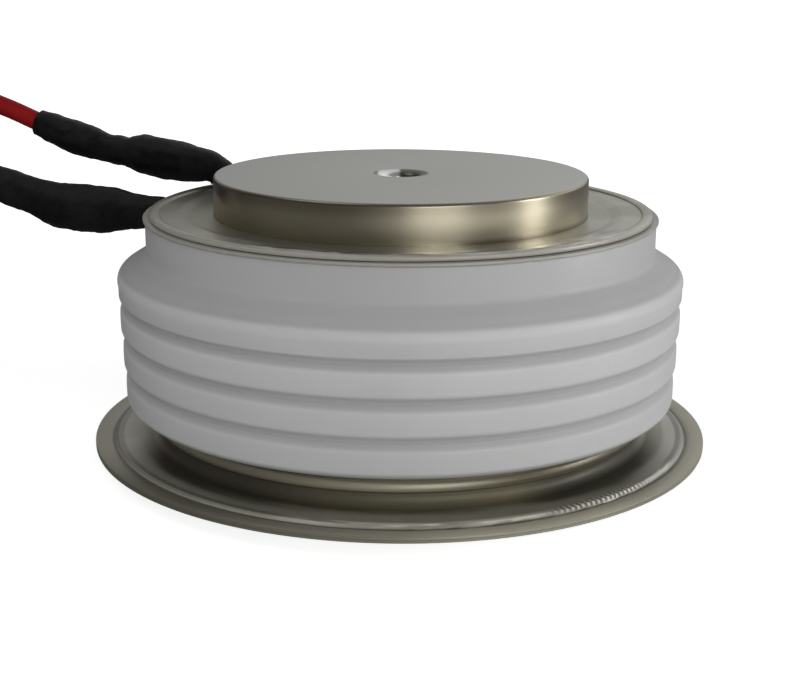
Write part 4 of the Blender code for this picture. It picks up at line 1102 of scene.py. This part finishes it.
def build_tie(owner):
    """A cable tie round the coil's section: strap, head and cut end."""
    centre = COIL_CENTRES[owner]
    width = 2 * COIL_PITCH + 2 * TIE_CLEARANCE
    height = 3 * COIL_PITCH + 2 * TIE_CLEARANCE
    middle = Vector((centre.x - COIL_MEAN_RADIUS, centre.y, COIL_BASE_Z + 1.5 * COIL_PITCH))
    bpy.ops.mesh.primitive_plane_add(size=1.0, location=middle, rotation=(math.radians(90.0), 0.0, 0.0))
    strap = bpy.context.object
    strap.name = owner + "_cable_tie"
    strap.scale = (width, height, 1.0)
    settle(strap)
    edit(strap)
    bpy.ops.mesh.bevel(offset=TIE_CORNER, segments=5, affect="VERTICES")
    bpy.ops.mesh.delete(type="ONLY_FACE")
    bpy.ops.mesh.select_all(action="SELECT")
    bpy.ops.transform.translate(value=(0.0, -0.5 * TIE_WIDTH, 0.0))
    bpy.ops.mesh.extrude_edges_move(TRANSFORM_OT_translate={"value": (0.0, TIE_WIDTH, 0.0)})
    face_outwards()
    close_edit()
    add_modifier(strap, "wall", "SOLIDIFY", thickness=TIE_WALL, offset=1.0)
    add_modifier(strap, "rounding", "BEVEL", width=0.00012, segments=2)
    apply_modifiers(strap)
    head_place = middle + Vector((-0.5 * width, 0.0, 0.0)) + TIE_HEAD_OFFSET
    head = block(head_place, TIE_HEAD_SIZE)
    edit(head)
    bpy.ops.mesh.bevel(offset=0.0004, segments=3, affect="EDGES")
    pick(head, lambda point: point.z > head_place.z + 0.0014, "FACE")
    bpy.ops.mesh.inset(thickness=TIE_MOUTH_RIM)
    extrude((0.0, 0.0, -TIE_MOUTH_DEPTH))
    close_edit()
    tip = block(head_place + Vector((0.0, 0.0, TIE_TIP_RISE)), TIE_TIP_SIZE)
    edit(tip)
    bpy.ops.mesh.bevel(offset=0.00012, segments=2, affect="EDGES")
    close_edit()
    join_pieces(strap, head, tip)
    return finished(strap, "nylon_tie", owner + "_coil_tie")


def build_terminal(owner):
    """Ring terminal: a crimped barrel, a tongue and a flat ring with its hole."""
    start = lead_points(owner)[-1]
    plate_z = start.z - LUG_DROP
    ring_centre = Vector((start.x - LUG_REACH, start.y, plate_z))
    bpy.ops.mesh.primitive_circle_add(
        vertices=SMALL_STEPS, radius=LUG_RADIUS, fill_type="NOTHING", location=ring_centre
    )
    terminal = bpy.context.object
    terminal.name = owner + "_ring_lug"
    edit(terminal)
    share = LUG_HOLE_RADIUS / LUG_RADIUS
    bpy.ops.mesh.extrude_edges_move()
    resize((share, share, 1.0), ring_centre)
    bpy.ops.mesh.select_all(action="SELECT")
    extrude((0.0, 0.0, LUG_SHEET))
    face_outwards()
    close_edit()
    settle(terminal)
    add_modifier(terminal, "rounding", "BEVEL", width=LUG_EDGE, segments=2, limit_method="ANGLE")
    apply_modifiers(terminal)
    tongue_x = start.x - TONGUE_START - 0.5 * TONGUE_SIZE[0]
    tongue = block((tongue_x, start.y, plate_z + 0.5 * LUG_SHEET), TONGUE_SIZE)
    edit(tongue)
    pick(tongue, lambda point: point.x > start.x - TONGUE_START - 0.0004, "FACE")
    resize((1.0, 0.8, 1.4), (0.0, start.y, plate_z))
    bpy.ops.mesh.select_all(action="SELECT")
    bpy.ops.mesh.bevel(offset=LUG_EDGE, segments=2, affect="EDGES")
    close_edit()
    join_pieces(terminal, tongue, build_barrel(start))
    return finished(terminal, "tinned_copper", owner + "_ring_terminal")


def build_barrel(start):
    """The terminal's barrel, pressed in the middle on the wire."""
    turn = (0.0, math.radians(90.0), 0.0)
    bpy.ops.mesh.primitive_circle_add(
        vertices=32, radius=BARREL_RADIUS, fill_type="NGON", location=start, rotation=turn
    )
    barrel = bpy.context.object
    settle(barrel)
    edit(barrel)
    at, size = 0.0, 1.0
    for spot, next_size in BARREL_RINGS:
        extrude((at - spot, 0.0, 0.0))
        grow = next_size / size
        resize((1.0, 2.0 - grow, grow), (start.x - spot, start.y, start.z))
        at, size = spot, next_size
    bpy.ops.mesh.inset(thickness=BARREL_WALL)
    extrude((BARREL_MOUTH_DEPTH, 0.0, 0.0))
    close_edit()
    weld(barrel)
    return barrel


def build_terminal_sleeve(owner):
    """The short insulating sleeve over the terminal's barrel."""
    start = lead_points(owner)[-1]
    points = [start + Vector((0.0073 - 0.0105 * step / 6, 0.0, 0.0)) for step in range(7)]
    radii = [0.00200, 0.00215, 0.00230, 0.00235, 0.00235, 0.00235, 0.00230]
    return build_sleeve(owner + "_lug_sleeve", points, radii, owner + "_terminal_sleeve", 0.00015)


def build_leads():
    """Both leads with all that sits on them."""
    looks = {"gate": "white_wire_insulation", "cathode": "red_wire_insulation"}
    for owner, look in looks.items():
        sleeves = [build_gate_sleeve()] if owner == "gate" else build_cathode_sleeves()
        extras = sleeves + [build_tie(owner), build_terminal(owner), build_terminal_sleeve(owner)]
        build_lead(owner, look)


# CAD nodes that stay

KEPT_FINISHES = {
    "anode_molybdenum_disc": "molybdenum",
    "cathode_molybdenum_disc": "molybdenum",
    "silicon_wafer": "silicon",
    "wafer_edge_seal": "silicone_seal",
    "centring_ring": "white_insulator",
    "gate_pin": "spring_steel",
    "gate_pin_collar": "white_insulator",
    "gate_insulating_cup": "white_insulator",
    "gate_spring": "spring_steel",
    "gate_pressure_washer": "spring_steel",
    "inner_gate_wire": "tinned_copper",
    "inner_gate_wire_sleeve": "white_insulator",
    "gate_tube": "nickel_plate",
    "gate_crimp": "tinned_copper",
    "cathode_crimp": "tinned_copper",
    "cathode_tag": "tinned_copper",
}


def dress_kept_nodes():
    """Gives the CAD nodes that stay in view their finish."""
    for name, finish in KEPT_FINISHES.items():
        node = NODES[name]
        node.data.materials.clear()
        node.data.materials.append(LOOKS[finish])


# Camera, floor and light


def make_camera():
    data = bpy.data.cameras.new("camera")
    data.sensor_width = 36.0
    data.lens = CAMERA_LENS
    data.clip_start = 0.005
    data.clip_end = 20.0
    camera = bpy.data.objects.new("camera", data)
    bpy.context.scene.collection.objects.link(camera)
    turn = (
        Matrix.Rotation(math.radians(CAMERA_HEADING), 4, "Z")
        @ Matrix.Rotation(math.radians(90.0 - CAMERA_DIP), 4, "X")
        @ Matrix.Rotation(math.radians(CAMERA_ROLL), 4, "Z")
    )
    camera.matrix_world = Matrix.Translation(CAMERA_PLACE) @ turn
    bpy.context.scene.camera = camera


def seen_plainly(tree):
    """1 for camera and transmission rays, which see the white background."""
    rays = add_node(tree, "LightPath").outputs
    return maths(tree, "MAXIMUM", rays["Is Camera Ray"], rays["Is Transmission Ray"])


def room_tone(tree, place):
    """What metal shows of the room in a direction: dark at the left, a pale table in front, a pale wall behind."""
    way = add_node(tree, "VectorMath", {0: place}, operation="NORMALIZE").outputs[0]
    across, back, up = add_node(tree, "SeparateXYZ", {0: way}).outputs
    table = product(tree, (across, -0.6, 0.6, 0.10, 0.62), (back, -0.2, 0.5, 1.0, 0.30), (up, 0.0, 0.25, 1.0, 0.35))
    wall = product(tree, (up, 0.05, 0.20), (back, -0.1, 0.5), raised(tree, across, 0.55, 0.50))
    return maths(tree, "ADD", maths(tree, "ADD", table, wall), 0.04)


def make_floor():
    """A plain white floor that keeps the shadow and is lifted to white where it is seen."""
    bpy.ops.mesh.primitive_plane_add(size=6.0, location=(0.0, 0.0, 0.0))
    floor = bpy.context.object
    floor.name = "floor"
    look = bpy.data.materials.new("floor white")
    look.use_nodes = True
    tree = look.node_tree
    tree.nodes.clear()
    plain = seen_plainly(tree)
    glossy = add_node(tree, "LightPath").outputs["Is Glossy Ray"]
    place = object_place(tree)
    distance = add_node(tree, "VectorMath", {0: place}, operation="LENGTH").outputs[1]
    lift = product(tree, plain, (distance, 0.05, 0.25, 0.80, 1.0))
    lift = raised(tree, glossy, room_tone(tree, place), lift)
    tone = mixed(tree, plain, (0.62, 0.62, 0.61), (0.80, 0.80, 0.80))
    tone = mixed(tree, glossy, tone, (0.0, 0.0, 0.0))
    diffuse = add_node(tree, "BsdfDiffuse", {"Color": tone})
    glow = add_node(tree, "Emission", {"Strength": lift})
    both = add_node(tree, "AddShader", {0: diffuse.outputs[0], 1: glow.outputs[0]})
    add_node(tree, "OutputMaterial", {"Surface": both.outputs[0]})
    floor.data.materials.append(look)


def make_world():
    """A soft grey room that reads as white where it is seen."""
    world = bpy.data.worlds.new("studio")
    bpy.context.scene.world = world
    world.use_nodes = True
    tree = world.node_tree
    background = tree.nodes["Background"]
    glossy = add_node(tree, "LightPath").outputs["Is Glossy Ray"]
    way = add_node(tree, "TexCoord").outputs["Generated"]
    shown = room_tone(tree, way)
    plain = seen_plainly(tree)
    _, front, height = add_node(tree, "SeparateXYZ", {0: way}).outputs
    soft = product(tree, (front, 0.4, -1.0, 0.42, 1.25), (height, 0.10, 0.70, 1.0, 0.20))
    rest = product(tree, maths(tree, "SUBTRACT", 1.0, glossy), soft)
    strength = raised(tree, glossy, shown, maths(tree, "MAXIMUM", plain, rest))
    background.inputs["Color"].default_value = (1.0, 1.0, 1.0, 1.0)
    tree.links.new(strength, background.inputs["Strength"])


def add_lamp(name, place, aim, size, watts):
    """A rectangular lamp at a place, turned to another."""
    data = bpy.data.lights.new(name, "AREA")
    data.shape = "RECTANGLE"
    data.size, data.size_y = size
    data.energy = watts
    lamp = bpy.data.objects.new(name, data)
    bpy.context.scene.collection.objects.link(lamp)
    lamp.location = place
    lamp.rotation_euler = (Vector(aim) - Vector(place)).to_track_quat("-Z", "Y").to_euler()


def make_light():
    middle = (0.0, 0.0, 0.015)
    add_lamp("right window", (0.44, -0.05, 0.08), middle, (0.12, 0.22), 0.60)
    add_lamp("front window", (0.20, -0.50, 0.10), middle, (0.30, 0.16), 0.50)
    add_lamp("left skylight", (-0.26, -0.06, 0.46), middle, (0.30, 0.30), 0.20)


make_camera()
make_floor()
make_world()
make_light()
build_leads()
build_poles()
build_ceramic()
build_cathode_flange()
build_foot()
dress_kept_nodes()
bpy.context.scene.view_settings.view_transform = "Standard"
bpy.ops.object.select_all(action="DESELECT")
